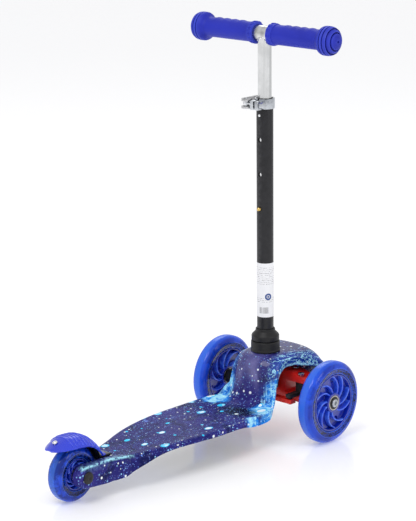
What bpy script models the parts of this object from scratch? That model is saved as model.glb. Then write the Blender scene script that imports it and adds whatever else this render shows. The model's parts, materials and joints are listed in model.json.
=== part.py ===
"""Child's three-wheeled kick scooter: lean-to-steer front axle, telescopic T-bar and a sprung rear brake.

+X is forwards, +Y is the rider's left and +Z is up. The origin is on the ground under the middle of the
scooter. Lengths in this file are millimetres, and the helpers turn them into metres.
"""

import math

import bmesh
import bpy
from mathutils import Matrix, Vector

MM = 0.001
GAP = 0.3

# Wheels and axles
FRONT_AXLE_X = 201.0
REAR_AXLE_X = -217.0
FRONT_WHEEL_R = 60.0
REAR_WHEEL_R = 38.5
WHEEL_WIDTH = 24.0
HALF_TRACK = 100.0
FRONT_HUB_R = 41.5
REAR_HUB_R = 21.5
BEARING_R = 11.0
BEARING_WIDTH = 7.0
AXLE_R = 3.9

# Stem: everything on it is built along a line that leans back a little
STEM_X = 181.4
STEM_LEAN = math.radians(1.0)
OUTER_TUBE_R = 12.0
OUTER_TUBE_BORE_R = 10.9
OUTER_TUBE_LOW = 88.5
OUTER_TUBE_TOP = 491.5
INNER_TUBE_R = 9.8
INNER_TUBE_BORE_R = 8.4
INNER_TUBE_LOW = 180.0
CROSSBAR_Z = 584.0
CROSSBAR_R = 11.0
BAR_HALF_WIDTH = 131.0
BUTTON_Z = 334.0
BUTTON_HOLE_PITCH = 50.0
BUTTON_R = 2.9
CLAMP_Z = 485.5
CLAMP_HALF_HEIGHT = 7.0
CLAMP_BOLT_X = -18.0
LEVER_PIVOT_Y = 19.0

# Front axle
LEAN_Z = 80.0
KINGPIN_Y = 50.0
STEERING_ARM = 25.0
TIE_ROD_LOW = 53.0
TIE_ROD_HIGH = 59.0
BEAM_REAR_X = 195.5
BEAM_FRONT_X = 222.5

# Deck shell, as stations along X
WALL = 3.0
FORK_SLOT_HALF = 14.5
FORK_HALF_WIDTH = 30.0
FORK_END_R = 15.5
HALF_WIDTH = [(-165, 30), (-135, 34), (-118, 39.5), (-88, 47), (-66, 51.5), (-44, 55), (-21, 57.5), (2, 59.2),
              (22, 60), (105, 60), (121, 59), (131, 55), (143.5, 48.5), (156, 41.5), (164, 40.5), (179, 40),
              (194, 41), (207, 47), (217, 55), (224, 63), (230, 68), (238, 70), (242, 66), (245, 58),
              (248, 47), (250.5, 38), (252.5, 28)]
LIP_Z = [(-165, 21), (-147, 21.5), (-135, 26), (-118, 33), (-88, 43), (-66, 46), (-44, 46.5), (40, 46),
         (62, 45), (82, 41.5), (98, 40.5), (114, 41), (124, 43.5), (131, 49), (143.5, 64),
         (156, 78), (160, 88), (164, 96), (179, 104), (194, 104), (207, 102),
         (228, 100), (238, 99), (242, 96), (245, 88), (248, 76), (250.5, 65), (252.5, 57)]
EDGE_Z = [(-165, 51), (-118, 51), (-88, 52.5), (-44, 54.4), (0, 55), (131, 55), (260, 55)]
SHOULDER_R = [(-165, 10), (-118, 9), (-88, 7), (-44, 5), (0, 4), (131, 3.5), (160, 3), (200, 4), (230, 6),
              (245, 4), (252.5, 2)]
DISH = 2.5
DOME_Z = [(0, 121.8), (20, 121.5), (24, 121), (31, 118), (38, 111), (41.5, 105), (44, 97), (46, 88),
          (47.5, 77), (50, 66), (54, 59), (60, 55.5), (68, 52), (90, 40)]
DOME_BACK = 0.9
DOME_SIDE = [(120, 1.1), (185, 1.1), (205, 1.3), (226, 1.6), (260, 1.6)]
NOSE_X = 226.0
NOSE_SCALE = 0.56
STATIONS = [-165, -147, -132, -118, -103, -88, -66, -44, -21, 5, 45, 62, 80, 98, 114, 123, 131, 137, 141, 146, 151,
            156, 164, 174, 190, 203, 213, 221, 229, 238, 243, 246, 249, 251, 252.5]

# Rear brake
BRAKE_X = -166.0
BRAKE_Z = 48.5
PAD_R = 41.8

COLLECTION = bpy.data.collections.new("kick_scooter")
CUTTERS = bpy.data.collections.new("cutters")


def material(name, color, roughness, metallic=0.0, transmission=0.0):
    made = bpy.data.materials.new(name)
    made.use_nodes = True
    shader = made.node_tree.nodes["Principled BSDF"]
    shader.inputs["Base Color"].default_value = (*color, 1.0)
    shader.inputs["Roughness"].default_value = roughness
    shader.inputs["Metallic"].default_value = metallic
    shader.inputs["Transmission Weight"].default_value = transmission
    made.diffuse_color = (*color, 1.0)
    return made


def along(table, x):
    """The value at x of a smooth curve through the table's points."""
    if x <= table[0][0]:
        return table[0][1]
    for i in range(len(table) - 1):
        x0, y0 = table[i]
        x1, y1 = table[i + 1]
        if x <= x1:
            before = table[max(i - 1, 0)]
            after = table[min(i + 2, len(table) - 1)]
            t = (x - x0) / (x1 - x0)
            slope = (y1 - y0) / (x1 - x0)
            start = slope_between(before, (x0, y0), (x1, y1), slope)
            end = slope_between((x0, y0), (x1, y1), after, slope)
            span = x1 - x0
            a = 2 * t**3 - 3 * t**2 + 1
            b = t**3 - 2 * t**2 + t
            c = 3 * t**2 - 2 * t**3
            d = t**3 - t**2
            return a * y0 + b * span * start + c * y1 + d * span * end
    return table[-1][1]


def slope_between(before, here, after, fallback):
    """A slope that keeps a curve through three points free of overshoot."""
    if here == before or here == after:
        return fallback
    first = (here[1] - before[1]) / (here[0] - before[0])
    second = (after[1] - here[1]) / (after[0] - here[0])
    if first * second <= 0:
        return 0.0
    return 2 * first * second / (first + second)


def link(name, mesh, look=None, cutter=False):
    made = bpy.data.objects.new(name, mesh)
    (CUTTERS if cutter else COLLECTION).objects.link(made)
    if cutter:
        made.hide_render = True
        made.display_type = "WIRE"
    if look:
        mesh.materials.append(look)
    return made


def mesh_from(name, build):
    """A mesh that the function build fills in, in millimetres."""
    work = bmesh.new()
    build(work)
    bmesh.ops.recalc_face_normals(work, faces=work.faces)
    bmesh.ops.scale(work, vec=(MM, MM, MM), verts=work.verts)
    mesh = bpy.data.meshes.new(name)
    work.to_mesh(mesh)
    work.free()
    return mesh


def box(name, low, high, look=None, cutter=False, bevel=0.0):
    def build(work):
        bmesh.ops.create_cube(work, size=1.0)
        size = Vector(high) - Vector(low)
        bmesh.ops.scale(work, vec=size, verts=work.verts)
        bmesh.ops.translate(work, vec=(Vector(low) + Vector(high)) / 2, verts=work.verts)

    made = link(name, mesh_from(name, build), look, cutter)
    if bevel:
        round_edges(made, bevel)
    return made


def rod(name, start, end, radius, look=None, cutter=False, sides=20, end_radius=None):
    """A cylinder, or a cone, between two points."""
    start, end = Vector(start), Vector(end)

    def build(work):
        bmesh.ops.create_cone(
            work, cap_ends=True, segments=sides, depth=(end - start).length,
            radius1=radius, radius2=radius if end_radius is None else end_radius,
        )
        turn = Vector((0, 0, 1)).rotation_difference(end - start).to_matrix().to_4x4()
        bmesh.ops.transform(work, matrix=Matrix.Translation((start + end) / 2) @ turn, verts=work.verts)

    made = link(name, mesh_from(name, build), look, cutter)
    smooth(made)
    return made


def smooth(made, degrees=40):
    made.data.shade_smooth()
    made.data.set_sharp_from_angle(angle=math.radians(degrees))


def round_edges(made, width, segments=2, degrees=40):
    bevel = made.modifiers.new("rounded", "BEVEL")
    bevel.width = width * MM
    bevel.segments = segments
    bevel.limit_method = "ANGLE"
    bevel.angle_limit = math.radians(degrees)
    return bevel


def turned(name, profile, look=None, steps=32, ring=False, cutter=False):
    """A profile of (radius, height) points turned about Z. It runs down the outside, and a ring's then up the bore."""
    mesh = bpy.data.meshes.new(name)
    points = [(r * MM, 0.0, h * MM) for r, h in profile]
    edges = [(i, i + 1) for i in range(len(points) - 1)]
    if ring:
        edges.append((len(points) - 1, 0))
    mesh.from_pydata(points, edges, [])
    made = link(name, mesh, look, cutter)
    screw = made.modifiers.new("turned", "SCREW")
    screw.axis = "Z"
    screw.steps = steps
    screw.render_steps = steps
    screw.use_merge_vertices = True
    screw.merge_threshold = 0.00001
    screw.use_smooth_shade = True
    return made


def plate(name, outline, half_thickness, look=None, cutter=False):
    """A flat outline with thickness, as a mesh in its own XY plane."""
    curve = bpy.data.curves.new(name, "CURVE")
    curve.dimensions = "2D"
    curve.fill_mode = "BOTH"
    curve.extrude = half_thickness * MM
    spline = curve.splines.new("POLY")
    spline.points.add(len(outline) - 1)
    spline.use_cyclic_u = True
    for point, (x, y) in zip(spline.points, outline):
        point.co = (x * MM, y * MM, 0.0, 1.0)
    guide = bpy.data.objects.new(name + "_curve", curve)
    CUTTERS.objects.link(guide)
    graph = bpy.context.evaluated_depsgraph_get()
    mesh = bpy.data.meshes.new_from_object(guide.evaluated_get(graph))
    bpy.data.objects.remove(guide)
    work = bmesh.new()
    work.from_mesh(mesh)
    bmesh.ops.remove_doubles(work, verts=work.verts, dist=0.00001)
    bmesh.ops.recalc_face_normals(work, faces=work.faces)
    work.to_mesh(mesh)
    work.free()
    return link(name, mesh, look, cutter)


def wire(name, points, radius, look):
    """A bent wire through the points."""
    curve = bpy.data.curves.new(name, "CURVE")
    curve.dimensions = "3D"
    curve.bevel_depth = radius * MM
    curve.bevel_resolution = 2
    curve.use_fill_caps = True
    spline = curve.splines.new("POLY")
    spline.points.add(len(points) - 1)
    for point, place in zip(spline.points, points):
        point.co = (*(Vector(place) * MM), 1.0)
    made = bpy.data.objects.new(name, curve)
    COLLECTION.objects.link(made)
    curve.materials.append(look)
    return made


def combine(made, other, operation, solver):
    step = made.modifiers.new(other.name, "BOOLEAN")
    step.operation = operation
    step.object = other
    step.solver = solver
    return made


def cut(made, *others, solver="EXACT"):
    for other in others:
        combine(made, other, "DIFFERENCE", solver)
    return made


def join(made, *others, solver="EXACT"):
    for other in others:
        combine(made, other, "UNION", solver)
    return made


def pivot(name, place, turn=(0, 0, 0)):
    """An empty on a joint's axis, which the joint's moving pieces hang from."""
    made = bpy.data.objects.new(name, None)
    COLLECTION.objects.link(made)
    made.empty_display_size = 0.02
    made.location = Vector(place) * MM
    made.rotation_euler = turn
    return made


def hang(parent, *pieces):
    """Parents the pieces and keeps them where they are."""
    bpy.context.view_layer.update()
    for piece in pieces:
        piece.parent = parent
        piece.matrix_parent_inverse = parent.matrix_world.inverted()


def arc(centre, radius, start, end, count):
    """Points along an arc, angles in degrees."""
    angles = [math.radians(start + (end - start) * i / (count - 1)) for i in range(count)]
    return [(centre[0] + radius * math.cos(a), centre[1] + radius * math.sin(a)) for a in angles]


TO_Y = (math.radians(-90), 0, 0)
SIDE_VIEW = (math.radians(90), 0, 0)
FRONT_VIEW = (math.radians(90), 0, math.radians(90))
LOOKS = {
    "shell": material("printed_shell", (0.07, 0.07, 0.32), 0.22),
    "black": material("black_plastic", (0.02, 0.02, 0.022), 0.45),
    "tube": material("black_powder_coat", (0.03, 0.03, 0.033), 0.38, 0.4),
    "alloy": material("brushed_alloy", (0.78, 0.79, 0.8), 0.28, 1.0),
    "steel": material("zinc_steel", (0.62, 0.64, 0.67), 0.3, 1.0),
    "brass": material("brass", (0.8, 0.58, 0.22), 0.3, 1.0),
    "rubber": material("blue_rubber", (0.055, 0.08, 0.55), 0.55),
    "tyre": material("clear_blue_pu", (0.04, 0.13, 0.9), 0.15, 0.0, 0.3),
    "hub": material("blue_hub", (0.04, 0.09, 0.75), 0.3),
    "cover": material("blue_cover", (0.05, 0.08, 0.7), 0.28),
    "red": material("red_nylon", (0.72, 0.02, 0.015), 0.35),
    "label": material("label_paper", (0.85, 0.86, 0.87), 0.5),
}


# Deck shell


def rim_height(x, y, half_width):
    """The skirt's corner, which sweeps up into the dome's flank on each side."""
    return along(LIP_Z, x) + 3.5 - 0.9 * (half_width - abs(y))


def top_height(x, y):
    half_width = along(HALF_WIDTH, x)
    across = min(abs(y) / half_width, 1.0)
    deck = along(EDGE_Z, x) - DISH * (1 - across**4) if x < 175 else 0.0
    stem_x = STEM_X - math.tan(STEM_LEAN) * 100
    behind = min(x - stem_x, 0.0) / DOME_BACK
    ahead = max(x - NOSE_X, 0.0) / NOSE_SCALE
    beside = y / along(DOME_SIDE, x)
    dome = along(DOME_Z, math.sqrt(behind**2 + ahead**2 + beside**2))
    rim = rim_height(x, y, half_width)
    return max(deck, dome, rim)


def shell_section(x, top_count=5, arc_count=2):
    """One side of the shell across X, from the centre line out over the shoulder and down to the lip."""
    half_width = along(HALF_WIDTH, x)
    lip = along(LIP_Z, x)
    inner = half_width - along(SHOULDER_R, x)
    points = [(inner * i / top_count, top_height(x, inner * i / top_count)) for i in range(top_count)]
    shoulder_z = top_height(x, inner)
    drop = min(along(SHOULDER_R, x), (shoulder_z - lip) * 0.7)
    for i in range(arc_count + 1):
        angle = math.pi / 2 * i / arc_count
        y = inner + along(SHOULDER_R, x) * math.sin(angle)
        points.append((y, shoulder_z - drop * (1 - math.cos(angle))))
    points.append((half_width, lip))
    return points


def shell_skin():
    """The shell's outer face as a loft between its stations."""

    def build(work):
        rows = []
        for x in STATIONS:
            right = shell_section(x)
            full = [(-y, z) for y, z in reversed(right[1:])] + right
            rows.append([work.verts.new((x, y, z)) for y, z in full])
        for here, ahead in zip(rows, rows[1:]):
            for i in range(len(here) - 1):
                work.faces.new((here[i], ahead[i], ahead[i + 1], here[i + 1]))

    return mesh_from("deck_shell", build)


def fork_outline():
    """Side view of one fork arm."""
    top = [(-140, 49), (-152, 51), (-172, 53), (-195, 54)]
    end = arc((REAR_AXLE_X, REAR_WHEEL_R), FORK_END_R, 90, 265, 9)
    low = [(-200, 21.5), (-180, 20), (-160, 20), (-147, 22), (-140, 25)]
    return top + end + low


def fork_arm(side):
    middle = side * (FORK_SLOT_HALF + FORK_HALF_WIDTH) / 2
    arm = plate(f"fork_arm_{side}", fork_outline(), (FORK_HALF_WIDTH - FORK_SLOT_HALF) / 2, cutter=True)
    arm.location = (0, middle * MM, 0)
    arm.rotation_euler = SIDE_VIEW
    round_edges(arm, 3.0, 2, 50)
    return arm


def make_shell():
    shell = link("deck_shell", shell_skin(), LOOKS["shell"])
    thick = shell.modifiers.new("wall", "SOLIDIFY")
    thick.thickness = WALL * MM
    thick.offset = -1.0
    join(shell, fork_arm(1), fork_arm(-1))
    slot = box("wheel_slot", (-260, -FORK_SLOT_HALF, 0), (BRAKE_X + 8, FORK_SLOT_HALF, 90), cutter=True)
    axle_bore = rod("rear_axle_bore", (REAR_AXLE_X, -40, REAR_WHEEL_R), (REAR_AXLE_X, 40, REAR_WHEEL_R),
                    AXLE_R + GAP, cutter=True)
    pin_bore = rod("brake_pin_bore", (BRAKE_X, -22, BRAKE_Z), (BRAKE_X, 22, BRAKE_Z), 2.5, cutter=True,
                   sides=12)
    stem_x = STEM_X - math.tan(STEM_LEAN) * 115
    stem_hole = rod("stem_hole", (stem_x, 0, 100), (stem_x, 0, 135), 17.0, cutter=True, sides=32)
    cut(shell, slot, axle_bore, pin_bore, stem_hole)
    for side in (1, -1):
        pocket = box(f"arm_pocket_{side}", (-202, side * 22.2 - 4.5, 0), (-172, side * 22.2 + 4.5, 46), cutter=True)
        cut(shell, pocket)
    smooth(shell, 35)
    return shell


BASE_LOW = 43.4
BASE_HIGH = 45.4
SCREW_SEAT = 45.6
SCREW_BOSS_TOP = 47.4
BASE_OUTLINE = [(-50, 40), (-35, 45), (-20, 50), (0, 54), (22, 55.5), (105, 55.5), (118, 54), (124, 50)]
SCREWS = [(-38, 0), (20, 34), (20, -34), (112, 36), (112, -36)]


def make_base():
    """The plate under the deck with the ribs that stiffen it. Its underside is flat."""
    outline = BASE_OUTLINE + [(x, -y) for x, y in reversed(BASE_OUTLINE)]
    base = plate("deck_base", outline, (BASE_HIGH - BASE_LOW) / 2, LOOKS["black"])
    base.location = (0, 0, (BASE_HIGH + BASE_LOW) / 2 * MM)
    rib_top = {-25: 47.6, 8: 48.6, 45: 48.6, 82: 48.6}
    for x, top in rib_top.items():
        reach = along(BASE_OUTLINE, x) - 4
        join(base, box(f"rib_{x}", (x - 1, -reach, BASE_LOW + 1), (x + 1, reach, top), cutter=True))
    join(base, box("keel", (-30, -1, BASE_LOW + 1), (118, 1, 47.5), cutter=True))
    for number, (x, y) in enumerate(SCREWS):
        boss = rod(f"screw_boss_{number}", (x, y, BASE_LOW + 1), (x, y, SCREW_BOSS_TOP), 6.2, cutter=True, sides=16)
        join(base, boss)
        recess = rod(f"screw_recess_{number}", (x, y, 40), (x, y, SCREW_SEAT + GAP), 4.0, cutter=True, sides=16)
        hole = rod(f"screw_hole_{number}", (x, y, 40), (x, y, 60), 2.3, cutter=True, sides=10)
        cut(base, recess, hole)
    return base


def make_deck_screws():
    for number, (x, y) in enumerate(SCREWS):
        profile = [(0, 2.4), (1.7, 2.0), (1.7, 0.0), (3.6, 0.0), (3.6, -0.8), (2.6, -1.7), (0, -1.9)]
        screw = turned(f"deck_screw_{number + 1}", profile, LOOKS["steel"], 10)
        screw.location = Vector((x, y, SCREW_SEAT)) * MM


# Stem


def make_socket(stem):
    """The socket that the stem stands in, with the fork that holds the lean pivot under it."""
    low, high = 85.0, 119.6
    socket = rod("stem_socket", (0, 0, low), (0, 0, high), 14.6, LOOKS["black"], sides=28)
    flange = rod("socket_flange", (0, 0, 112), (0, 0, 115), 21.0, cutter=True, sides=32)
    hang_on_stem(stem, socket, flange)
    rear_plate = box("socket_rear_plate", (186, -14, 66), (193, 14, 87), cutter=True)
    web = box("socket_web", (184, -9, 103), (231, 9, 108), cutter=True)
    front_plate = box("socket_front_plate", (227, -12, 68), (231, 12, 108), cutter=True)
    join(socket, flange, rear_plate, web, front_plate)
    bore = rod("socket_bore", (0, 0, OUTER_TUBE_LOW - GAP), (0, 0, 140), OUTER_TUBE_R + GAP, cutter=True,
               sides=32)
    hang_on_stem(stem, bore)
    lean_bore = rod("lean_bore", (180, 0, LEAN_Z), (240, 0, LEAN_Z), 3.4, cutter=True, sides=12)
    pin_hole = rod("steering_pin_hole", (FRONT_AXLE_X - STEERING_ARM, 0, 60),
                   (FRONT_AXLE_X - STEERING_ARM, 0, 100), 3.3, cutter=True, sides=12)
    cut(socket, bore, lean_bore, pin_hole, solver="MANIFOLD")
    return socket


def hang_on_stem(stem, *pieces):
    """Puts pieces that were drawn along a plain Z axis onto the leaning stem."""
    for piece in pieces:
        piece.parent = stem


def make_collar(stem):
    lower = [(20, 137.7), (20.9, 136.5), (20.9, 126), (21.5, 124.5), (21.5, 122.8), (20.6, 122.3),
             (12.4, 122.3), (12.4, 137.7)]
    upper = [(13.6, 156), (14.2, 155), (14.2, 152.4), (15.4, 151), (19.3, 147), (20.1, 145.4), (20.1, 139),
             (19, 138.1), (12.4, 138.1), (12.4, 156)]
    hang_on_stem(stem, turned("collar_lower", lower, LOOKS["black"], 24, ring=True))
    hang_on_stem(stem, turned("collar_upper", upper, LOOKS["black"], 24, ring=True))


def tube_profile(outer, inner, low, high):
    return [(outer, high), (outer, low), (inner, low), (inner, high)]


def make_outer_tube(stem):
    profile = tube_profile(OUTER_TUBE_R, OUTER_TUBE_BORE_R, OUTER_TUBE_LOW, OUTER_TUBE_TOP)
    tube = turned("outer_tube", profile, LOOKS["tube"], 28, ring=True)
    hang_on_stem(stem, tube)
    for step in range(3):
        z = BUTTON_Z + step * BUTTON_HOLE_PITCH
        hole = rod(f"button_hole_{step}", (-20, 0, z), (-5, 0, z), BUTTON_R + 0.35, cutter=True, sides=12)
        hang_on_stem(stem, hole)
        cut(tube, hole)
    peg_hole = rod("peg_hole", (-20, 0, 469), (-5, 0, 469), 1.7, cutter=True, sides=12)
    hang_on_stem(stem, peg_hole)
    cut(tube, peg_hole)
    return tube


def make_bushing(stem):
    sleeve = [(OUTER_TUBE_R, OUTER_TUBE_TOP + 1.6), (OUTER_TUBE_R, OUTER_TUBE_TOP + GAP),
              (OUTER_TUBE_BORE_R - 0.25, OUTER_TUBE_TOP + GAP), (OUTER_TUBE_BORE_R - 0.25, OUTER_TUBE_TOP - 12),
              (INNER_TUBE_R + 0.15, OUTER_TUBE_TOP - 12), (INNER_TUBE_R + 0.15, OUTER_TUBE_TOP + 1.6)]
    hang_on_stem(stem, turned("guide_bushing", sleeve, LOOKS["black"], 24, ring=True))


def make_label(stem):
    """A paper label wrapped most of the way round the tube."""
    inner = OUTER_TUBE_R + 0.1
    outline = arc((0, 0), inner + 0.25, 35, 325, 21) + arc((0, 0), inner, 325, 35, 21)
    label = plate("stem_label", outline, 40.0, LOOKS["label"])
    label.location = (0, 0, 214.5 * MM)
    hang_on_stem(stem, label)


def make_clamp(stem):
    low, high = CLAMP_Z - CLAMP_HALF_HEIGHT, CLAMP_Z + CLAMP_HALF_HEIGHT - 1.4
    ring_low, ring_high = low, OUTER_TUBE_TOP + 1.2
    ring = turned("clamp_ring", tube_profile(14.3, OUTER_TUBE_R + GAP, ring_low, ring_high), LOOKS["alloy"], 32,
                  ring=True)
    ear = box("clamp_ears", (-24, -7, low), (-12.8, 7, high), cutter=True)
    split = box("clamp_split", (-30, -1.5, 460), (-9, 1.5, 500), cutter=True)
    bolt_bore = rod("clamp_bolt_bore", (CLAMP_BOLT_X, -20, CLAMP_Z), (CLAMP_BOLT_X, 20, CLAMP_Z), 2.8,
                    cutter=True, sides=12)
    hang_on_stem(stem, ring, ear, split, bolt_bore)
    join(ring, ear)
    cut(ring, split, bolt_bore)
    bolt = rod("clamp_bolt", (CLAMP_BOLT_X, -11.2, CLAMP_Z), (CLAMP_BOLT_X, LEVER_PIVOT_Y + 4, CLAMP_Z), 2.4,
               LOOKS["steel"], sides=16)
    eye = rod("bolt_eye", (CLAMP_BOLT_X, LEVER_PIVOT_Y, CLAMP_Z - 3.2), (CLAMP_BOLT_X, LEVER_PIVOT_Y, CLAMP_Z + 3.2),
              4.2, cutter=True, sides=20)
    eye_bore = rod("bolt_eye_bore", (CLAMP_BOLT_X, LEVER_PIVOT_Y, 470), (CLAMP_BOLT_X, LEVER_PIVOT_Y, 495), 2.2,
                   cutter=True, sides=12)
    hang_on_stem(stem, bolt, eye, eye_bore)
    cut(join(bolt, eye), eye_bore)
    nut = rod("clamp_nut", (CLAMP_BOLT_X, -13.6, CLAMP_Z), (CLAMP_BOLT_X, -7 - GAP, CLAMP_Z), 5.4,
              LOOKS["steel"], sides=6)
    nut_bore = rod("clamp_nut_bore", (CLAMP_BOLT_X, -12, CLAMP_Z), (CLAMP_BOLT_X, 0, CLAMP_Z), 2.7, cutter=True,
                   sides=16)
    hang_on_stem(stem, nut, nut_bore)
    cut(nut, nut_bore)


def make_lever(stem):
    """The cam lever: two cheeks round the bolt's eye and a curved arm along the tube's left side."""
    pivot_x, pivot_y = CLAMP_BOLT_X, LEVER_PIVOT_Y
    cam = arc((pivot_x, pivot_y - 0.6), 7.4, 130, 330, 11)
    arm = [(-6, 17.2), (4, 19.2), (16, 20.2), (24, 19.4), (25.5, 21.2), (20, 23.6), (6, 24.4), (-8, 24.8),
           (-18, 25.6)]
    lever = plate("clamp_lever", cam + arm, 6.9, LOOKS["alloy"])
    lever.location = (0, 0, CLAMP_Z * MM)
    mouth = box("lever_mouth", (-30, 0, CLAMP_Z - 3.6), (pivot_x + 6.2, 30, CLAMP_Z + 3.6), cutter=True)
    pin_bore = rod("lever_pin_bore", (pivot_x, pivot_y, 460), (pivot_x, pivot_y, 500), 2.15, cutter=True,
                   sides=16)
    hang_on_stem(stem, lever, mouth, pin_bore)
    cut(lever, mouth, pin_bore)
    pin = rod("lever_pin", (pivot_x, pivot_y, CLAMP_Z - 7.4), (pivot_x, pivot_y, CLAMP_Z + 7.4), 1.85,
              LOOKS["steel"], sides=16)
    hang_on_stem(stem, pin)


def make_t_bar(stem):
    tube = turned("inner_tube", tube_profile(INNER_TUBE_R, INNER_TUBE_BORE_R, INNER_TUBE_LOW, CROSSBAR_Z),
                  LOOKS["alloy"], 24, ring=True)
    saddle = rod("saddle", (0, -40, CROSSBAR_Z), (0, 40, CROSSBAR_Z), CROSSBAR_R + GAP, cutter=True, sides=32)
    button_hole = rod("inner_button_hole", (-20, 0, BUTTON_Z), (-3, 0, BUTTON_Z), BUTTON_R + 0.3, cutter=True,
                      sides=16)
    bar = turned("crossbar", tube_profile(CROSSBAR_R, CROSSBAR_R - 1.6, -122, 122), LOOKS["alloy"], 24, ring=True)
    bar.location = (0, 0, CROSSBAR_Z * MM)
    bar.rotation_euler = TO_Y
    hang_on_stem(stem, tube, saddle, button_hole, bar)
    cut(tube, saddle, button_hole)


GRIP = [(BAR_HALF_WIDTH, 1.6), (BAR_HALF_WIDTH - 0.7, 6.5), (BAR_HALF_WIDTH - 3.2, 12.5), (123, 17.2),
        (120.5, 18.5), (116, 20.2), (109, 20.5), (105.5, 19.6), (101, 14), (20.5, 14), (20, 15.2), (13, 15.2)]


def make_grips(stem):
    for name, side in (("grip_left", 1), ("grip_right", -1)):
        inner = [(13, CROSSBAR_R + GAP), (BAR_HALF_WIDTH - 8.5, CROSSBAR_R + GAP), (BAR_HALF_WIDTH - 8.5, 1.6)]
        profile = [(r, h) for h, r in GRIP] + [(r, h) for h, r in inner]
        grip = turned(name, profile, LOOKS["rubber"], 24, ring=True)
        grip.location = (0, 0, CROSSBAR_Z * MM)
        grip.rotation_euler = TO_Y if side > 0 else (math.radians(90), 0, 0)
        hang_on_stem(stem, grip)


def make_button(stem):
    profile = [(0, 16.4), (1.5, 16.1), (2.5, 15.2), (BUTTON_R, 13.8), (BUTTON_R, 6.4), (0, 6.4)]
    button = turned("snap_button", profile, LOOKS["brass"], 20)
    button.location = (0, 0, BUTTON_Z * MM)
    button.rotation_euler = (0, math.radians(-90), 0)
    outer = [(-5.9, 6), (-5.9, -4), (-4, -18), (0, -27), (4, -18), (7.4, 0)]
    inner = [(6.8, 0), (3.4, -18), (0, -25.6), (-3.4, -18), (-5.2, -4), (-5.2, 6)]
    spring = plate("snap_spring", outer + inner, 2.5, LOOKS["steel"])
    spring.location = (0, 0, BUTTON_Z * MM)
    spring.rotation_euler = SIDE_VIEW
    hang_on_stem(stem, button, spring)


# Front axle


def make_beam():
    """The axle beam: a centre block on the lean pivot, and upper and lower arms that fork round each knuckle."""
    right = [(14, 50), (20, 47.5), (34, 47.5), (40, 50), (52, 49), (60, 51), (61.5, 54), (61.5, 60),
             (25, 60), (23, 62), (23, 76), (25, 78.6), (61.5, 78.6), (61.5, 83), (56, 86.5), (44, 89.5),
             (36, 92.5), (24, 92.5), (20, 96)]
    outline = right + [(-y, z) for y, z in reversed(right)]
    beam = plate("axle_beam", outline, (BEAM_FRONT_X - BEAM_REAR_X) / 2, LOOKS["red"])
    beam.location = ((BEAM_REAR_X + BEAM_FRONT_X) / 2 * MM, 0, 0)
    beam.rotation_euler = FRONT_VIEW
    for side in (1, -1):
        pin_y = side * KINGPIN_Y
        bore = rod(f"kingpin_bore_{side}", (FRONT_AXLE_X, pin_y, 40), (FRONT_AXLE_X, pin_y, 95), 3.3,
                   cutter=True, sides=12)
        cut(beam, bore, solver="MANIFOLD")
    lean_bore = rod("beam_lean_bore", (190, 0, LEAN_Z), (232, 0, LEAN_Z), 3.4, cutter=True, sides=12)
    cut(beam, lean_bore, solver="MANIFOLD")
    return beam


def make_lean_bolt():
    bolt = rod("lean_pivot_bolt", (182, 0, LEAN_Z), (231 + GAP, 0, LEAN_Z), 3.1, LOOKS["steel"], sides=16)
    join(bolt, rod("lean_bolt_head", (231 + GAP, 0, LEAN_Z), (235.5, 0, LEAN_Z), 5.6, cutter=True, sides=6))
    nut = rod("lean_pivot_nut", (181.5, 0, LEAN_Z), (186 - GAP, 0, LEAN_Z), 5.4, LOOKS["steel"], sides=6)
    cut(nut, rod("lean_nut_bore", (170, 0, LEAN_Z), (190, 0, LEAN_Z), 3.4, cutter=True, sides=12))


def coil(name, centre, radius, low, high, turns, wire_radius, look):
    """An upright coil spring."""
    count = 8 * turns
    points = []
    for i in range(count + 1):
        angle = 2 * math.pi * i / 8
        z = low + wire_radius + (high - low - 2 * wire_radius) * i / count
        points.append((centre[0] + radius * math.cos(angle), centre[1] + radius * math.sin(angle), z))
    return wire(name, points, wire_radius, look)


def make_lean_springs():
    for name, side in (("lean_spring_left", 1), ("lean_spring_right", -1)):
        coil(name, (211, side * 30), 4.6, 93, 113, 4, 0.8, LOOKS["steel"])


def make_knuckle(side):
    """The swivelling stub: a barrel on the kingpin, a boss for the wheel bolt and an arm to the tie rod."""
    suffix = "left" if side > 0 else "right"
    pin_y = side * KINGPIN_Y
    knuckle = rod(f"knuckle_{suffix}", (FRONT_AXLE_X, pin_y, 60.6), (FRONT_AXLE_X, pin_y, 78), 8.0, LOOKS["black"],
                  sides=24)
    near, far = sorted((pin_y, side * 70))
    neck = box(f"knuckle_neck_{suffix}", (FRONT_AXLE_X - 7.5, near, 61), (FRONT_AXLE_X + 7.5, far, 77.4),
               cutter=True)
    boss = rod(f"knuckle_boss_{suffix}", (FRONT_AXLE_X, side * 65.5, FRONT_WHEEL_R),
               (FRONT_AXLE_X, side * 86, FRONT_WHEEL_R), 10.8, cutter=True, sides=24)
    arm_x = FRONT_AXLE_X - STEERING_ARM
    arm = box(f"steering_arm_{suffix}", (arm_x - 4.5, pin_y - 4.5, 61), (FRONT_AXLE_X, pin_y + 4.5, 66.5),
              cutter=True)
    peg = rod(f"steering_peg_{suffix}", (arm_x, pin_y, TIE_ROD_LOW - 2), (arm_x, pin_y, 63), 2.0, cutter=True,
              sides=12)
    join(knuckle, neck, boss, arm, peg)
    pin_bore = rod(f"knuckle_bore_{suffix}", (FRONT_AXLE_X, pin_y, 50), (FRONT_AXLE_X, pin_y, 90), 3.3,
                   cutter=True, sides=12)
    bolt_bore = rod(f"wheel_bolt_bore_{suffix}", (FRONT_AXLE_X, side * 66.5, FRONT_WHEEL_R),
                    (FRONT_AXLE_X, side * 90, FRONT_WHEEL_R), AXLE_R + GAP, cutter=True, sides=12)
    return cut(knuckle, pin_bore, bolt_bore)


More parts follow.
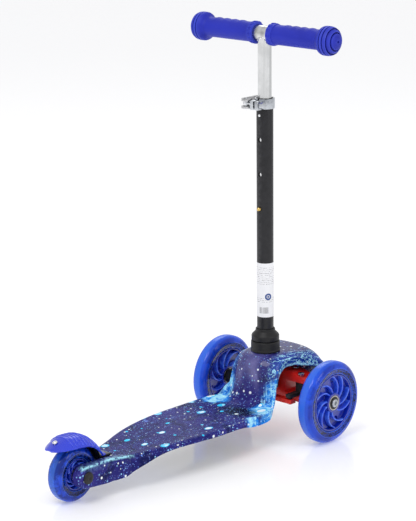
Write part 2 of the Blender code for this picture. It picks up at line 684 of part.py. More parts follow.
def make_kingpin(side):
    pin_y = side * KINGPIN_Y
    suffix = "left" if side > 0 else "right"
    pin = rod(f"kingpin_{suffix}", (FRONT_AXLE_X, pin_y, 45.5), (FRONT_AXLE_X, pin_y, 90.5), 3.0, LOOKS["steel"],
              sides=16)
    head = rod(f"kingpin_head_{suffix}", (FRONT_AXLE_X, pin_y, 90.2), (FRONT_AXLE_X, pin_y, 92.6), 5.0,
               cutter=True, sides=6)
    return join(pin, head)


def make_tie_rod():
    middle = FRONT_AXLE_X - STEERING_ARM
    tie = box("tie_rod", (middle - 5.5, -KINGPIN_Y - 6, TIE_ROD_LOW), (middle + 5.5, KINGPIN_Y + 6, TIE_ROD_HIGH),
              LOOKS["red"])
    for y, radius in ((-KINGPIN_Y, 3.4), (0, 4.2), (KINGPIN_Y, 3.4)):
        cut(tie, rod(f"tie_rod_hole_{y:.0f}", (middle, y, 45), (middle, y, 66), radius, cutter=True, sides=12))
    return tie


def make_steering_pin():
    middle = FRONT_AXLE_X - STEERING_ARM
    rod("steering_pin", (middle, 0, TIE_ROD_LOW - 2), (middle, 0, 88), 3.0, LOOKS["steel"], sides=16)


# Wheels, drawn round the Z axis with the outer face up, then laid on their axles


def tyre_profile(outer, inner, half):
    """A tread with round shoulders, and a bead that grips the hub's rim."""
    outside = [(inner + 0.5, half - 1.5), (inner + 6, half - 0.6), (outer - 11, half)]
    crown = [(outer - 11 + 11 * math.sin(a), half - 9.5 + 9.5 * math.cos(a))
             for a in (math.radians(30), math.radians(58), math.radians(85))]
    top = outside + crown
    return top + [(r, -h) for r, h in reversed(top)]


def hub_profile(rim, half, seat):
    """Rim, web and boss. The boss is bored for a bearing at each side, with a shoulder between them."""
    rim_inner = rim - 4.5
    boss = BEARING_R + 3.2
    bore = BEARING_R + 0.05
    shoulder = 9.0
    top = [(rim, half - 1.5), (rim, -half + 1.5), (rim_inner, -half + 1.5), (rim_inner, -3), (boss, -3),
           (boss, -half + 1), (bore, -half + 1), (bore, -seat), (shoulder, -seat), (shoulder, seat), (bore, seat),
           (bore, half - 1), (boss, half - 1), (boss, 3), (rim_inner, 3), (rim_inner, half - 1.5)]
    return top


def swirl_rib(name, rim, half, angle):
    """One curved spoke rib, raised from the web on both faces."""
    inner_r, outer_r = BEARING_R + 2.6, rim - 3.5
    count = 4
    centre_line = []
    for i in range(count):
        share = i / (count - 1)
        radius = inner_r + (outer_r - inner_r) * share
        centre_line.append((radius, angle + 0.62 * share**1.4))
    left = [(r * math.cos(a) - 0.8 * math.sin(a), r * math.sin(a) + 0.8 * math.cos(a)) for r, a in centre_line]
    right = [(r * math.cos(a) + 0.8 * math.sin(a), r * math.sin(a) - 0.8 * math.cos(a)) for r, a in centre_line]
    return plate(name, right + left[::-1], half - 2.6, cutter=True)


def make_wheel(label, radius, rim, spokes, place, parent_name):
    """Tyre, hub, two bearings and the spacer between them, with their axle along Y."""
    spin = pivot(parent_name, place)
    half = WHEEL_WIDTH / 2
    seat = half - 1 - BEARING_WIDTH
    tyre = turned(f"{label}_tyre", tyre_profile(radius, rim + GAP, half), LOOKS["tyre"], 24, ring=True)
    hub = turned(f"{label}_hub", hub_profile(rim, half, seat), LOOKS["hub"], 20, ring=True)
    pieces = [tyre, hub]
    for number in range(spokes):
        rib = swirl_rib(f"{label}_rib_{number}", rim, half, 2 * math.pi * number / spokes)
        join(hub, rib)
        pieces.append(rib)
    for name, sign in (("outer", 1), ("inner", -1)):
        near = seat + 0.2
        far = near + BEARING_WIDTH
        race = tube_profile(BEARING_R - 0.1, AXLE_R + 0.25, near, far)
        bearing = turned(f"{label}_bearing_{name}", race, LOOKS["steel"], 20, ring=True)
        if sign < 0:
            bearing.rotation_euler = (math.radians(180), 0, 0)
        pieces.append(bearing)
    spacer_half = seat - 0.3 - 0.2
    spacer = turned(f"{label}_spacer", tube_profile(6.0, AXLE_R + 0.25, -spacer_half, spacer_half), LOOKS["alloy"],
                    16, ring=True)
    pieces.append(spacer)
    for piece in pieces:
        piece.parent = spin
    side = 1 if place[1] >= 0 else -1
    spin.rotation_euler = (math.radians(-90 * side), 0, 0)
    return spin


def make_front_bolt(side):
    suffix = "left" if side > 0 else "right"
    inner_y, face_y = side * 68, side * (HALF_TRACK + WHEEL_WIDTH / 2 - 0.5)
    bolt = rod(f"front_axle_bolt_{suffix}", (FRONT_AXLE_X, inner_y, FRONT_WHEEL_R),
               (FRONT_AXLE_X, face_y + side * 1.2, FRONT_WHEEL_R), AXLE_R, LOOKS["steel"], sides=20)
    head = rod(f"front_bolt_head_{suffix}", (FRONT_AXLE_X, face_y, FRONT_WHEEL_R),
               (FRONT_AXLE_X, face_y + side * 2.6, FRONT_WHEEL_R), 6.2, cutter=True, sides=20, end_radius=5.2)
    socket = rod(f"front_bolt_socket_{suffix}", (FRONT_AXLE_X, face_y + side * 0.6, FRONT_WHEEL_R),
                 (FRONT_AXLE_X, face_y + side * 6, FRONT_WHEEL_R), 2.6, cutter=True, sides=6)
    return cut(join(bolt, head), socket)


def make_rear_axle():
    reach = FORK_HALF_WIDTH + 0.2
    rod("rear_axle", (REAR_AXLE_X, -reach, REAR_WHEEL_R), (REAR_AXLE_X, reach, REAR_WHEEL_R), AXLE_R,
        LOOKS["steel"], sides=20)
    for name, side in (("axle_cap_left", 1), ("axle_cap_right", -1)):
        inner = FORK_HALF_WIDTH + GAP + 0.2
        cap = turned(name, [(0, 3.1), (5.5, 2.9), (7.8, 2.2), (8.5, 1.0), (8.5, 0.0), (0, 0.0)], LOOKS["black"], 24)
        cap.location = Vector((REAR_AXLE_X, side * inner, REAR_WHEEL_R)) * MM
        cap.rotation_euler = (math.radians(-90 * side), 0, 0)


# Rear brake

COVER = [(-169, 59.4, 16, 2.5), (-174, 63.5, 18, 7), (-179.5, 70.5, 21, 9), (-186, 77.5, 23, 10),
         (-197, 86.5, 24.5, 11), (-212, 92, 25, 12), (-229, 93, 24, 12), (-243, 88.5, 19, 8), (-254, 84, 12, 4),
         (-260, 82, 6, 1.5)]


def cover_skin():
    """The fender's upper face: crowned sections strung along its side view."""

    def build(work):
        rows = []
        for x, z, half_width, drop in COVER:
            row = []
            for i in range(11):
                across = -1 + 2 * i / 10
                row.append(work.verts.new((x, half_width * across, z - drop * abs(across) ** 2.4)))
            rows.append(row)
        for here, behind in zip(rows, rows[1:]):
            for i in range(10):
                work.faces.new((here[i], here[i + 1], behind[i + 1], behind[i]))

    return mesh_from("brake_cover", build)


def make_cover():
    cover = link("brake_cover", cover_skin(), LOOKS["cover"])
    thick = cover.modifiers.new("wall", "SOLIDIFY")
    thick.thickness = 2.6 * MM
    thick.offset = -1.0
    screw_bore = rod("cover_screw_bore", (-250, 0, 70), (-244, 0, 100), 2.7, cutter=True, sides=10)
    cut(cover, screw_bore)
    smooth(cover)
    return cover


def make_shoe():
    """The brake's inner shoe: a band round the tyre, a pivot barrel and a short foot."""
    centre = (REAR_AXLE_X, REAR_WHEEL_R)
    outline = arc(centre, PAD_R + 2.3, 22, 120, 10) + arc(centre, PAD_R, 120, 12, 10)
    outline += [(-171, 44), (-165, 42.5), (-160.2, 44.5), (-159.6, 50.6), (-154.5, 51.8), (-153.8, 52.8), (-158, 54.4),
                (-168, 54.6)]
    shoe = plate("brake_shoe", outline, 13.6, LOOKS["black"])
    shoe.rotation_euler = SIDE_VIEW
    pin_bore = rod("shoe_pin_bore", (BRAKE_X, -20, BRAKE_Z), (BRAKE_X, 20, BRAKE_Z), 2.4, cutter=True, sides=12)
    cut(shoe, pin_bore, solver="MANIFOLD")
    return shoe


def make_brake():
    press = pivot("brake_press", (BRAKE_X, 0, BRAKE_Z))
    cover = make_cover()
    shoe = make_shoe()
    head = [(0, 2.0), (2.0, 1.7), (3.6, 0.6), (3.6, 0.0), (1.6, 0.0), (1.6, -9), (0, -9)]
    screw = turned("brake_screw", head, LOOKS["alloy"], 16)
    screw.location = Vector((-247, 0, 88.2)) * MM
    screw.rotation_euler = (0, math.radians(-17), 0)
    hang(press, cover, shoe, screw)
    rod("brake_pin", (BRAKE_X, -21, BRAKE_Z), (BRAKE_X, 21, BRAKE_Z), 2.1, LOOKS["steel"], sides=16)


# Assembly


def clear_scene():
    for old in list(bpy.data.objects):
        bpy.data.objects.remove(old)


def make_stem():
    stem = pivot("stem_line", (STEM_X, 0, 0), (0, -STEM_LEAN, 0))
    make_socket(stem)
    make_collar(stem)
    make_outer_tube(stem)
    make_bushing(stem)
    make_label(stem)
    make_clamp(stem)
    make_lever(stem)
    make_t_bar(stem)
    make_grips(stem)
    make_button(stem)


def make_front_axle():
    lean = pivot("lean", (FRONT_AXLE_X, 0, LEAN_Z))
    hang(lean, make_beam(), make_tie_rod())
    make_lean_bolt()
    make_lean_springs()
    make_steering_pin()
    for suffix, side in (("left", 1), ("right", -1)):
        steer = pivot(f"steer_{suffix}", (FRONT_AXLE_X, side * KINGPIN_Y, LEAN_Z))
        hang(lean, steer, make_kingpin(side))
        wheel = make_wheel(f"front_{suffix}", FRONT_WHEEL_R, FRONT_HUB_R, 5,
                           (FRONT_AXLE_X, side * HALF_TRACK, FRONT_WHEEL_R), f"spin_{suffix}")
        hang(steer, make_knuckle(side), make_front_bolt(side), wheel)


def main():
    clear_scene()
    scene = bpy.context.scene
    scene.collection.children.link(COLLECTION)
    scene.collection.children.link(CUTTERS)
    CUTTERS.hide_render = True
    make_shell()
    make_base()
    make_deck_screws()
    make_stem()
    make_front_axle()
    make_wheel("rear", REAR_WHEEL_R, REAR_HUB_R, 5, (REAR_AXLE_X, 0, REAR_WHEEL_R), "spin_rear")
    make_rear_axle()
    make_brake()


main()
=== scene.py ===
import json
import math
import random

import bmesh
import bpy
from mathutils import Matrix, Vector

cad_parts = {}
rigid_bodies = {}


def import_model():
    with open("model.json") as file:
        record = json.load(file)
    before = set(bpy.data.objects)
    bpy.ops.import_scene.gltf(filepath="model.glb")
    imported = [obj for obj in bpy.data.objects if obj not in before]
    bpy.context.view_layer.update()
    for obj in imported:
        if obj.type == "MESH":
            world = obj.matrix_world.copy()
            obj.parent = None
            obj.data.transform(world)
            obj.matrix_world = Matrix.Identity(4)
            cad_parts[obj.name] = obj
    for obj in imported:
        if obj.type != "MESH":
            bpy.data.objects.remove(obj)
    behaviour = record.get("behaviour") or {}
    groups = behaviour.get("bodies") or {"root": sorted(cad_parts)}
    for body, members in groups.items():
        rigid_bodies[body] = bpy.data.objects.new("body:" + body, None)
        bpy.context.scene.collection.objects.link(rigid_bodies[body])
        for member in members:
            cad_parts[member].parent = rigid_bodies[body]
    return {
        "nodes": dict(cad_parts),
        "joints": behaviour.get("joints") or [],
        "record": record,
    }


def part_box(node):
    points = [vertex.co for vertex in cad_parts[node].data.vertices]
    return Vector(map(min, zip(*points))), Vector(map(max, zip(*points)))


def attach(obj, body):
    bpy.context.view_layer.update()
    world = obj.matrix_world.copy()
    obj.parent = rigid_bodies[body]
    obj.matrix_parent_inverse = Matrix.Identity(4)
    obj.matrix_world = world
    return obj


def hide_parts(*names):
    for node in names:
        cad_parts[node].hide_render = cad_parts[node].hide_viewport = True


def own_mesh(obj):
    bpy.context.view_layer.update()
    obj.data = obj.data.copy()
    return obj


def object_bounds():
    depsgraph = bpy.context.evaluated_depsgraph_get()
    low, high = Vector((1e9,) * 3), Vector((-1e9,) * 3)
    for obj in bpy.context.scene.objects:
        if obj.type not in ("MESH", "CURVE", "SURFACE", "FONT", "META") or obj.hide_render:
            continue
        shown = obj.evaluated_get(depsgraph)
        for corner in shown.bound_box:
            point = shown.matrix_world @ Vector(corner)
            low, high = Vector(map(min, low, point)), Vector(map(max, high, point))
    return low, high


for leftover in list(bpy.data.objects):
    bpy.data.objects.remove(leftover)
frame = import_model()
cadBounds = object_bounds()
mm = 0.001
bodyOfNode = {node: body for body, nodes in frame["record"]["behaviour"]["bodies"].items() for node in nodes}
joints = {joint["name"]: joint for joint in frame["joints"]}
print("frame loaded:", len(frame["nodes"]), "nodes")


# node trees, for materials and for geometry alike


class Value:
    # a socket that takes part in plain arithmetic
    def __init__(self, tree, socket):
        self.tree = tree
        self.socket = socket

    def sum(self, operation, *others, **settings):
        inputs = dict(enumerate([self, *others]))
        return self.tree.node("ShaderNodeMath", dict(operation=operation, **settings), inputs)

    def __add__(self, other):
        return self.sum("ADD", other)

    def __sub__(self, other):
        return self.sum("SUBTRACT", other)

    def __mul__(self, other):
        return self.sum("MULTIPLY", other)

    def __truediv__(self, other):
        return self.sum("DIVIDE", other)

    def __rsub__(self, other):
        return self.sum("MULTIPLY_ADD", -1.0, other)

    def __lt__(self, other):
        return self.sum("LESS_THAN", other)

    def __gt__(self, other):
        return self.sum("GREATER_THAN", other)

    def __pow__(self, other):
        return self.sum("POWER", other)

    def __abs__(self):
        return self.sum("ABSOLUTE")

    __radd__ = __add__
    __rmul__ = __mul__

    def clamped(self):
        return self.sum("MULTIPLY", 1.0, use_clamp=True)

    def ramp(self, low, high):
        # 0 below low, 1 above high and a soft step between them; low may be the larger
        flip = low > high
        span = {"Value": self, "From Min": min(low, high), "From Max": max(low, high),
                "To Min": float(flip), "To Max": float(not flip)}
        return self.tree.node("ShaderNodeMapRange", dict(interpolation_type="SMOOTHSTEP"), span)


class Tree:
    def __init__(self, tree):
        self.tree = tree

    def feed(self, socket, value):
        if isinstance(value, Value):
            self.tree.links.new(value.socket, socket)
        else:
            socket.default_value = value

    def node(self, kind, settings=None, inputs=None, output=0):
        made = self.tree.nodes.new(kind)
        for key, value in (settings or {}).items():
            if key == "stops":
                ramp = made.color_ramp
                while len(ramp.elements) < len(value):
                    ramp.elements.new(1.0)
                for element, (place, color) in zip(ramp.elements, value):
                    element.position = place
                    element.color = (*color, 1.0)
            else:
                setattr(made, key, value)
        for key, value in (inputs or {}).items():
            self.feed(made.inputs[key], value)
        return Value(self, made.outputs[output])


class Look(Tree):
    # a material on a Principled shader; numbers that are the same all over are set on its sockets
    def __init__(self, name, **shader):
        self.material = bpy.data.materials.new(name)
        self.material.use_nodes = True
        super().__init__(self.material.node_tree)
        self.shader = self.tree.nodes["Principled BSDF"]
        for key, value in shader.items():
            self.shader.inputs[key.replace("_", " ")].default_value = value

    def place(self, stretch=(1, 1, 1), shift=(0, 0, 0), turn=(0, 0, 0)):
        coords = self.node("ShaderNodeTexCoord", output="Object")
        inputs = {"Vector": coords, "Scale": stretch, "Location": shift, "Rotation": turn}
        return self.node("ShaderNodeMapping", {}, inputs)

    def noise(self, scale, detail=2.0, rough=0.5, at=None, twist=0.0):
        inputs = {"Vector": at or self.place(), "Scale": scale, "Detail": detail, "Roughness": rough,
                  "Distortion": twist}
        return self.node("ShaderNodeTexNoise", {}, inputs)

    def mark(self, name):
        return self.node("ShaderNodeAttribute", dict(attribute_name=name), {}, "Fac")

    def worn(self, low=0.52, high=0.6):
        # convex edges
        return self.node("ShaderNodeNewGeometry", {}, {}, "Pointiness").ramp(low, high)

    def mix(self, factor, first, second, how="MIX"):
        inputs = {0: factor, 6: first, 7: second}
        return self.node("ShaderNodeMix", dict(data_type="RGBA", blend_type=how), inputs, 2)

    def bump(self, height, strength, depth, normal=None):
        inputs = {"Height": height, "Strength": strength, "Distance": depth}
        if normal:
            inputs["Normal"] = normal
        return self.node("ShaderNodeBump", {}, inputs)

    def wear(self, **inputs):
        for key, value in inputs.items():
            self.feed(self.shader.inputs[key.replace("_", " ")], value)
        return self.material


def color(red, green, blue):
    return (red, green, blue, 1.0)


# finishes

galaxy = {
    "navy": color(0.003, 0.007, 0.055), "indigo": color(0.011, 0.012, 0.125),
    "violet": color(0.040, 0.034, 0.245),
    "black": color(0.0008, 0.0012, 0.010), "deep": color(0.003, 0.050, 0.36),
    "nebula": color(0.01, 0.26, 0.86),
    # core colours the print's bright hearts and threads, and is also the painted highlight along the edges
    "coreAndHighlight": color(0.42, 0.86, 1.0), "star": color(0.90, 0.97, 1.0), "cyan": color(0.03, 0.62, 1.0),
    # glow tints flecks and blobs of the print, and is also the painted highlight on the dome
    "glow": color(0.50, 0.47, 0.90), "dust": color(0.16, 0.30, 0.90),
}


stars = {
    # cells to a metre, size in the cell and share of the cells: on the flat of the deck, then elsewhere
    "dust": ((330.0, 0.26, 0.62), (400.0, 0.42, 0.7)),
    "small": ((170.0, 0.20, 0.45), (200.0, 0.36, 0.6)),
    "middle": ((80.0, 0.14, 0.40), (95.0, 0.25, 0.6)),
    "large": ((34.0, 0.13, 0.36), (38.0, 0.15, 0.6)),
    "blot": (27.0, 0.26, 0.6),
}


def starField(look, scale, size, share, at, flat=False):
    # round stars: one in some of the cells, each with its own size; flat ones run straight up and down
    cell = {"Vector": at, "Scale": scale, "Randomness": 1.0}
    cells = dict(voronoi_dimensions="2D" if flat else "3D")
    reach = look.node("ShaderNodeTexVoronoi", cells, cell, "Distance")
    tint = look.node("ShaderNodeTexVoronoi", cells, cell, "Color")
    lot = look.node("ShaderNodeSeparateColor", {}, {0: tint}, 0)
    kept = look.node("ShaderNodeSeparateColor", {}, {0: tint}, 1) < share
    radius = lot * (size * 0.75) + size * 0.25
    return (reach / radius).ramp(1.0, 0.6) * kept


def printedShellLook():
    look = Look("printedGalaxyFilm", Coat_Roughness=0.06, Specular_IOR_Level=0.06)
    at = look.place()
    flank, rim, dome = look.mark("flank"), look.mark("rim"), look.mark("dome")
    shade, cloud, glow = look.mark("shade"), look.mark("cloud"), look.mark("glow")
    level = look.mark("deckTop")
    broad = look.noise(11.0, 3.0, 0.6, at)
    clouds = look.noise(30.0, 6.0, 0.68, at, 0.5)
    fine = look.noise(240.0, 3.0, 0.7, at)
    ground = look.mix((broad * 2.4 - 0.75).clamped(), galaxy["indigo"], galaxy["violet"])
    ground = look.mix((clouds.ramp(0.50, 0.36) * 0.75).clamped(), ground, galaxy["navy"])
    ground = look.mix((fine.ramp(0.5, 0.8) * 0.16).clamped(), ground, galaxy["glow"])
    # glowing blobs on the back of the dome, and a painted highlight laid at fixed spots on the dome's flanks
    # and crest
    blob = look.noise(19.0, 1.0, 0.4, look.place(shift=(0.2, 0.05, 0.3))).ramp(0.50, 0.78) * dome
    ground = look.mix((blob * 0.4 + glow * 0.9).clamped(), ground, galaxy["glow"])
    # the bright cloud that runs up both flanks, blue at its edge and nearly white at its heart
    ground = look.mix((flank * (clouds * 1.6 - 0.1)).clamped(), ground, galaxy["deep"])
    mist = (clouds * 1.5 + cloud * 0.55 - 0.88).ramp(0.0, 0.35) * (flank + cloud * 1.5).clamped()
    ground = look.mix(mist.clamped(), ground, galaxy["nebula"])
    swirl = look.noise(52.0, 6.0, 0.66, look.place(shift=(0.31, 0.2, 0.1)), 0.9)
    heart = (swirl * 1.8 + cloud * 0.55 - 1.30).ramp(0.0, 0.28) * (cloud * 1.8).clamped()
    ground = look.mix(heart.clamped(), ground, galaxy["coreAndHighlight"])
    ground = look.mix((shade * (clouds * 0.8 + 0.55)).clamped(), ground, galaxy["black"])
    # threads like lightning that climb along the flanks
    slope = look.place(stretch=(0.42, 1, 1), turn=(0, 0.8, 0))
    vein = look.noise(40.0, 5.0, 0.6, slope, 0.9)
    twig = look.noise(75.0, 4.0, 0.55, slope, 0.5)
    thread = (abs(vein - 0.5).ramp(0.016, 0.005) + abs(twig - 0.53).ramp(0.014, 0.004) * 0.7) * flank
    ground = look.mix((thread * fine.ramp(0.3, 0.48)).clamped(), ground, galaxy["coreAndHighlight"])
    # a few fine scratches of light across the deck
    wire = look.noise(13.0, 3.0, 0.5, look.place(stretch=(1, 1.8, 0), shift=(0.4, 0.3, 0)), 0.8)
    ground = look.mix((abs(wire - 0.47).ramp(0.0032, 0.0010) * level * fine.ramp(0.46, 0.56)).clamped(),
                      ground,
                      galaxy["dust"])
    # painted highlight: a bright line along the deck's edges, the lip by the dome and the top of the fork
    # arms
    ground = look.mix((rim * fine.ramp(0.36, 0.54)).clamped(), ground, galaxy["coreAndHighlight"])
    milky = look.noise(15.0, 3.0, 0.6, look.place(shift=(0.5, 0.1, 0.7))).ramp(0.34, 0.60)
    upright = 1 - level
    dust, small, middle, large = [
        starField(look, *stars[name][0], at, True) * level + starField(look, *stars[name][1], at) * upright
        for name in ("dust", "small", "middle", "large")]
    ground = look.mix((dust * (milky * 0.7 + 0.3)).clamped(), ground, galaxy["dust"])
    ground = look.mix((small * (milky * 0.5 + 0.5)).clamped(), ground, color(0.32, 0.66, 1.0))
    ground = look.mix(middle.clamped(), ground, galaxy["star"])
    ground = look.mix(large.clamped(), ground,
                      look.mix(broad.ramp(0.46, 0.60), galaxy["cyan"], galaxy["star"]))
    # the largest blots lie on the deck, with a pale heart
    spread = look.place(stretch=(0.8, 1.2, 1), shift=(0.013, 0.02, 0))
    blot = starField(look, *stars["blot"], spread, True) * level
    ground = look.mix(blot.ramp(0.05, 0.5), ground, galaxy["cyan"])
    ground = look.mix(blot.ramp(0.75, 1.0) * clouds.ramp(0.42, 0.52), ground, galaxy["star"])
    peel = look.noise(420.0, 2.0, 0.5, at)
    scuff = look.noise(900.0, 2.0, 0.6, look.place(stretch=(0.25, 1, 1)))
    return look.wear(Base_Color=ground, Roughness=scuff * 0.12 + 0.22, Coat_Weight=dome * 0.6,
                     Normal=look.bump(peel, 0.10, 0.0004))


def plainPlastic(name, base, light, roughness=0.4, grain=1400.0, depth=0.00012, coat=0.0, wear=0.35,
                 **shader):
    # moulded plastic: a fine spark-eroded grain, slight flow marks and paler rubbed edges
    look = Look(name, Coat_Weight=coat, Coat_Roughness=0.08, **shader)
    flow = look.noise(38.0, 4.0, 0.6)
    texture = look.noise(grain, 2.0, 0.6)
    edge = look.worn()
    tone = look.mix((flow.ramp(0.3, 0.75) * 0.6).clamped(), base, light)
    tone = look.mix((edge * wear * look.noise(160.0, 3.0).ramp(0.4, 0.6)).clamped(), tone,
                    color(*[min(1.0, c * 1.8 + 0.03) for c in light[:3]]))
    return look.wear(Base_Color=tone, Roughness=texture * 0.14 + (roughness - 0.07) + edge * 0.08,
                     Normal=look.bump(texture, 0.22, depth))


def brushedMetal(name, base, dark, roughness, stretch=(1, 1, 0.03), scale=900.0, spangle=0.0, wear=0.3,
                 streaksAndReflection=0.0,
                 patches=0.0):
    # drawn or plated metal: hairlines along one way, and a faint bloom
    look = Look(name, Metallic=1.0, Specular_IOR_Level=0.5)
    lines = look.noise(scale, 3.0, 0.65, look.place(stretch=stretch))
    bloom = look.noise(45.0, 4.0, 0.6)
    edge = look.worn()
    tone = look.mix((bloom.ramp(0.35, 0.7) * 0.5 + lines * 0.25).clamped(), base, dark)
    if streaksAndReflection:
        # long dark streaks down a tube: partly drawn marks, partly a painted reflection of dark surroundings
        streakAndReflection = look.noise(95.0, 2.0, 0.5, look.place(stretch=(1, 1, 0.004)))
        tone = look.mix((streakAndReflection.ramp(0.42, 0.58) * streaksAndReflection).clamped(), tone, dark)
    if patches:
        # dark stains in random patches over a casting
        stain = look.noise(130.0, 4.0, 0.6, None, 0.6)
        tone = look.mix((stain.ramp(0.44, 0.56) * patches).clamped(), tone, dark)
    if spangle:
        leaf = look.node("ShaderNodeTexVoronoi", {}, {"Vector": look.place(), "Scale": 380.0}, "Color")
        lot = look.node("ShaderNodeSeparateColor", {}, {0: leaf}, 0)
        tone = look.mix(spangle, tone, look.mix(lot, dark, base))
    tone = look.mix((edge * wear).clamped(), tone, color(0.95, 0.95, 0.95))
    return look.wear(Base_Color=tone, Roughness=lines * 0.16 + (roughness - 0.08) + bloom * 0.05,
                     Normal=look.bump(lines, 0.12, 0.00005))


def rubberLook():
    look = Look("blueGripRubber", Specular_IOR_Level=0.28)
    skin = look.noise(1500.0, 2.0, 0.6)
    smear = look.noise(30.0, 4.0, 0.55, look.place(stretch=(1, 0.35, 1)))
    tone = look.mix((smear.ramp(0.3, 0.7) * 0.8).clamped(), color(0.008, 0.015, 0.33),
                    color(0.018, 0.030, 0.47))
    tone = look.mix((look.worn(0.51, 0.58) * 0.45).clamped(), tone, color(0.07, 0.11, 0.78))
    # painted shade: darker in the grooves, found where the surface is hollow
    grooveShade = look.node("ShaderNodeNewGeometry", {}, {}, "Pointiness").ramp(0.49, 0.44)
    tone = look.mix((grooveShade * 0.7).clamped(), tone, color(0.004, 0.006, 0.12))
    return look.wear(Base_Color=tone, Roughness=skin * 0.2 + 0.40 + smear * 0.06,
                     Normal=look.bump(skin, 0.25, 0.00015))


def tyreLook(name, shade):
    # cast clear polyurethane: paler at the crown, deeper down the wall, over a printed inner ring
    look = Look(name, Transmission_Weight=0.10, IOR=1.45, Coat_Weight=0.3, Coat_Roughness=0.02,
                Specular_IOR_Level=0.2, Subsurface_Weight=0.2, Subsurface_Radius=(0.2, 0.5, 1.0),
                Subsurface_Scale=0.005)
    reach = look.mark("radius")
    turn = look.node("ShaderNodeUVMap", {}, {}, 0)
    swirl = look.noise(24.0, 3.0, 0.5)
    depth = look.noise(70.0, 5.0, 0.62, None, 0.8)
    tone = look.mix(swirl.ramp(0.36, 0.64), color(0.004, 0.036, 0.46), color(0.012, 0.080, 0.74))
    tone = look.mix((depth.ramp(0.5, 0.62) * 0.5).clamped(), tone, color(0.003, 0.022, 0.32))
    tone = look.mix((reach.ramp(0.74, 0.93) * (depth * 0.9 + 0.1)).clamped(), tone, color(0.020, 0.13, 0.92))
    # shade darkens the tone in patches: slightly on the front tyres, and deeply on the rear tyre under the
    # deck as painted shade
    tone = look.mix((depth.ramp(0.40, 0.56) * shade).clamped(), tone, color(0.002, 0.012, 0.15))
    tone = look.mix((reach.ramp(0.955, 0.998) * 0.4).clamped(), tone, color(0.07, 0.26, 1.0))
    # broken marks of the ring under the skin, between two thin clear lines
    around = look.node("ShaderNodeSeparateXYZ", {}, {0: turn}, 0)
    mark = look.node("ShaderNodeCombineXYZ", {}, {0: around * 88.0, 1: reach * 8.0})
    broken = look.noise(1.0, 3.0, 0.7, mark, 0.6).ramp(0.49, 0.54)
    band = reach.ramp(0.05, 0.09) * reach.ramp(0.45, 0.39)
    tone = look.mix((band * (broken * 0.68 + 0.32)).clamped(), tone, color(0.0012, 0.002, 0.014))
    line = (abs(reach - 0.46).ramp(0.022, 0.010) + abs(reach - 0.03).ramp(0.03, 0.012)) * 0.4
    tone = look.mix(line.clamped(), tone, color(0.10, 0.26, 1.0))
    scuff = look.noise(700.0, 3.0, 0.6)
    tread = reach.ramp(0.9, 1.0)
    return look.wear(Base_Color=tone, Roughness=scuff * 0.08 + 0.07 + tread * 0.12,
                     Normal=look.bump(scuff, 0.06, 0.0001))


def bearingLook():
    # bright races either side of a dark seal
    look = Look("bearingSteelAndSeal", Specular_IOR_Level=0.5)
    reach = look.mark("radius")
    lines = look.noise(800.0, 3.0, 0.6)
    smear = look.noise(120.0, 4.0, 0.6)
    seal = reach.ramp(0.25, 0.29) * reach.ramp(0.79, 0.75)
    steel = look.mix((smear * 0.7 + lines * 0.3).clamped(), color(0.62, 0.60, 0.55), color(0.26, 0.24, 0.20))
    rubber = look.mix(smear.ramp(0.35, 0.7), color(0.006, 0.006, 0.007), color(0.020, 0.019, 0.018))
    return look.wear(Base_Color=look.mix(seal, steel, rubber), Metallic=1 - seal * 0.97,
                     Roughness=seal * 0.24 + lines * 0.12 + 0.18, Normal=look.bump(lines, 0.12, 0.00005))


def labelLook():
    # a paper wrap with printed rules, a round mark and a pattern of bars, none of which says anything
    look = Look("paperWrap", Coat_Weight=0.25, Coat_Roughness=0.25)
    uv = look.node("ShaderNodeUVMap", {}, {}, 0)
    along = look.node("ShaderNodeSeparateXYZ", {}, {0: uv}, 1)
    around = look.node("ShaderNodeSeparateXYZ", {}, {0: uv}, 0)
    fibre = look.noise(1600.0, 4.0, 0.7)
    paper = look.mix(fibre.ramp(0.3, 0.8), color(0.86, 0.865, 0.885), color(0.97, 0.97, 0.975))
    rows = (along * 30.0).sum("FRACT")
    ragged = look.noise(1.0, 2.0, 0.6, look.node("ShaderNodeMapping", {},
                                                 {"Vector": uv, "Scale": (44.0, 31.0, 1)}))
    rules = rows.ramp(0.38, 0.44) * rows.ramp(0.66, 0.60) * ragged.ramp(0.48, 0.54)
    head = along.ramp(0.60, 0.61) * along.ramp(0.93, 0.92)
    foot = along.ramp(0.26, 0.27) * along.ramp(0.36, 0.35)
    ink = color(0.035, 0.035, 0.045)
    tone = look.mix((rules * (head + foot) * 0.85).clamped(), paper, ink)
    strip = look.node("ShaderNodeMapping", {}, {"Vector": uv, "Scale": (90.0, 0.0, 1)})
    bars = look.node("ShaderNodeTexNoise", {}, {"Vector": strip, "Scale": 1.0, "Detail": 0.0}).ramp(0.5, 0.52)
    code = along.ramp(0.07, 0.075) * along.ramp(0.19, 0.185)
    code = code * around.ramp(0.29, 0.295) * around.ramp(0.51, 0.505)
    tone = look.mix((bars * code * 0.9).clamped(), tone, ink)
    off = look.node("ShaderNodeVectorMath", dict(operation="MULTIPLY_ADD"),
                    {0: uv, 1: (62.0, 80.0, 0.0), 2: (-18.0, -30.6, 0.0)})
    reach = look.node("ShaderNodeVectorMath", dict(operation="LENGTH"), {0: off}, "Value")
    disc = reach.ramp(5.1, 4.8) * (1 - abs(reach - 2.0).ramp(0.7, 0.4) * 0.8)
    tone = look.mix(disc.clamped(), tone, color(0.01, 0.06, 0.26))
    return look.wear(Base_Color=tone, Roughness=fibre * 0.2 + 0.4, Normal=look.bump(fibre, 0.2, 0.00006))


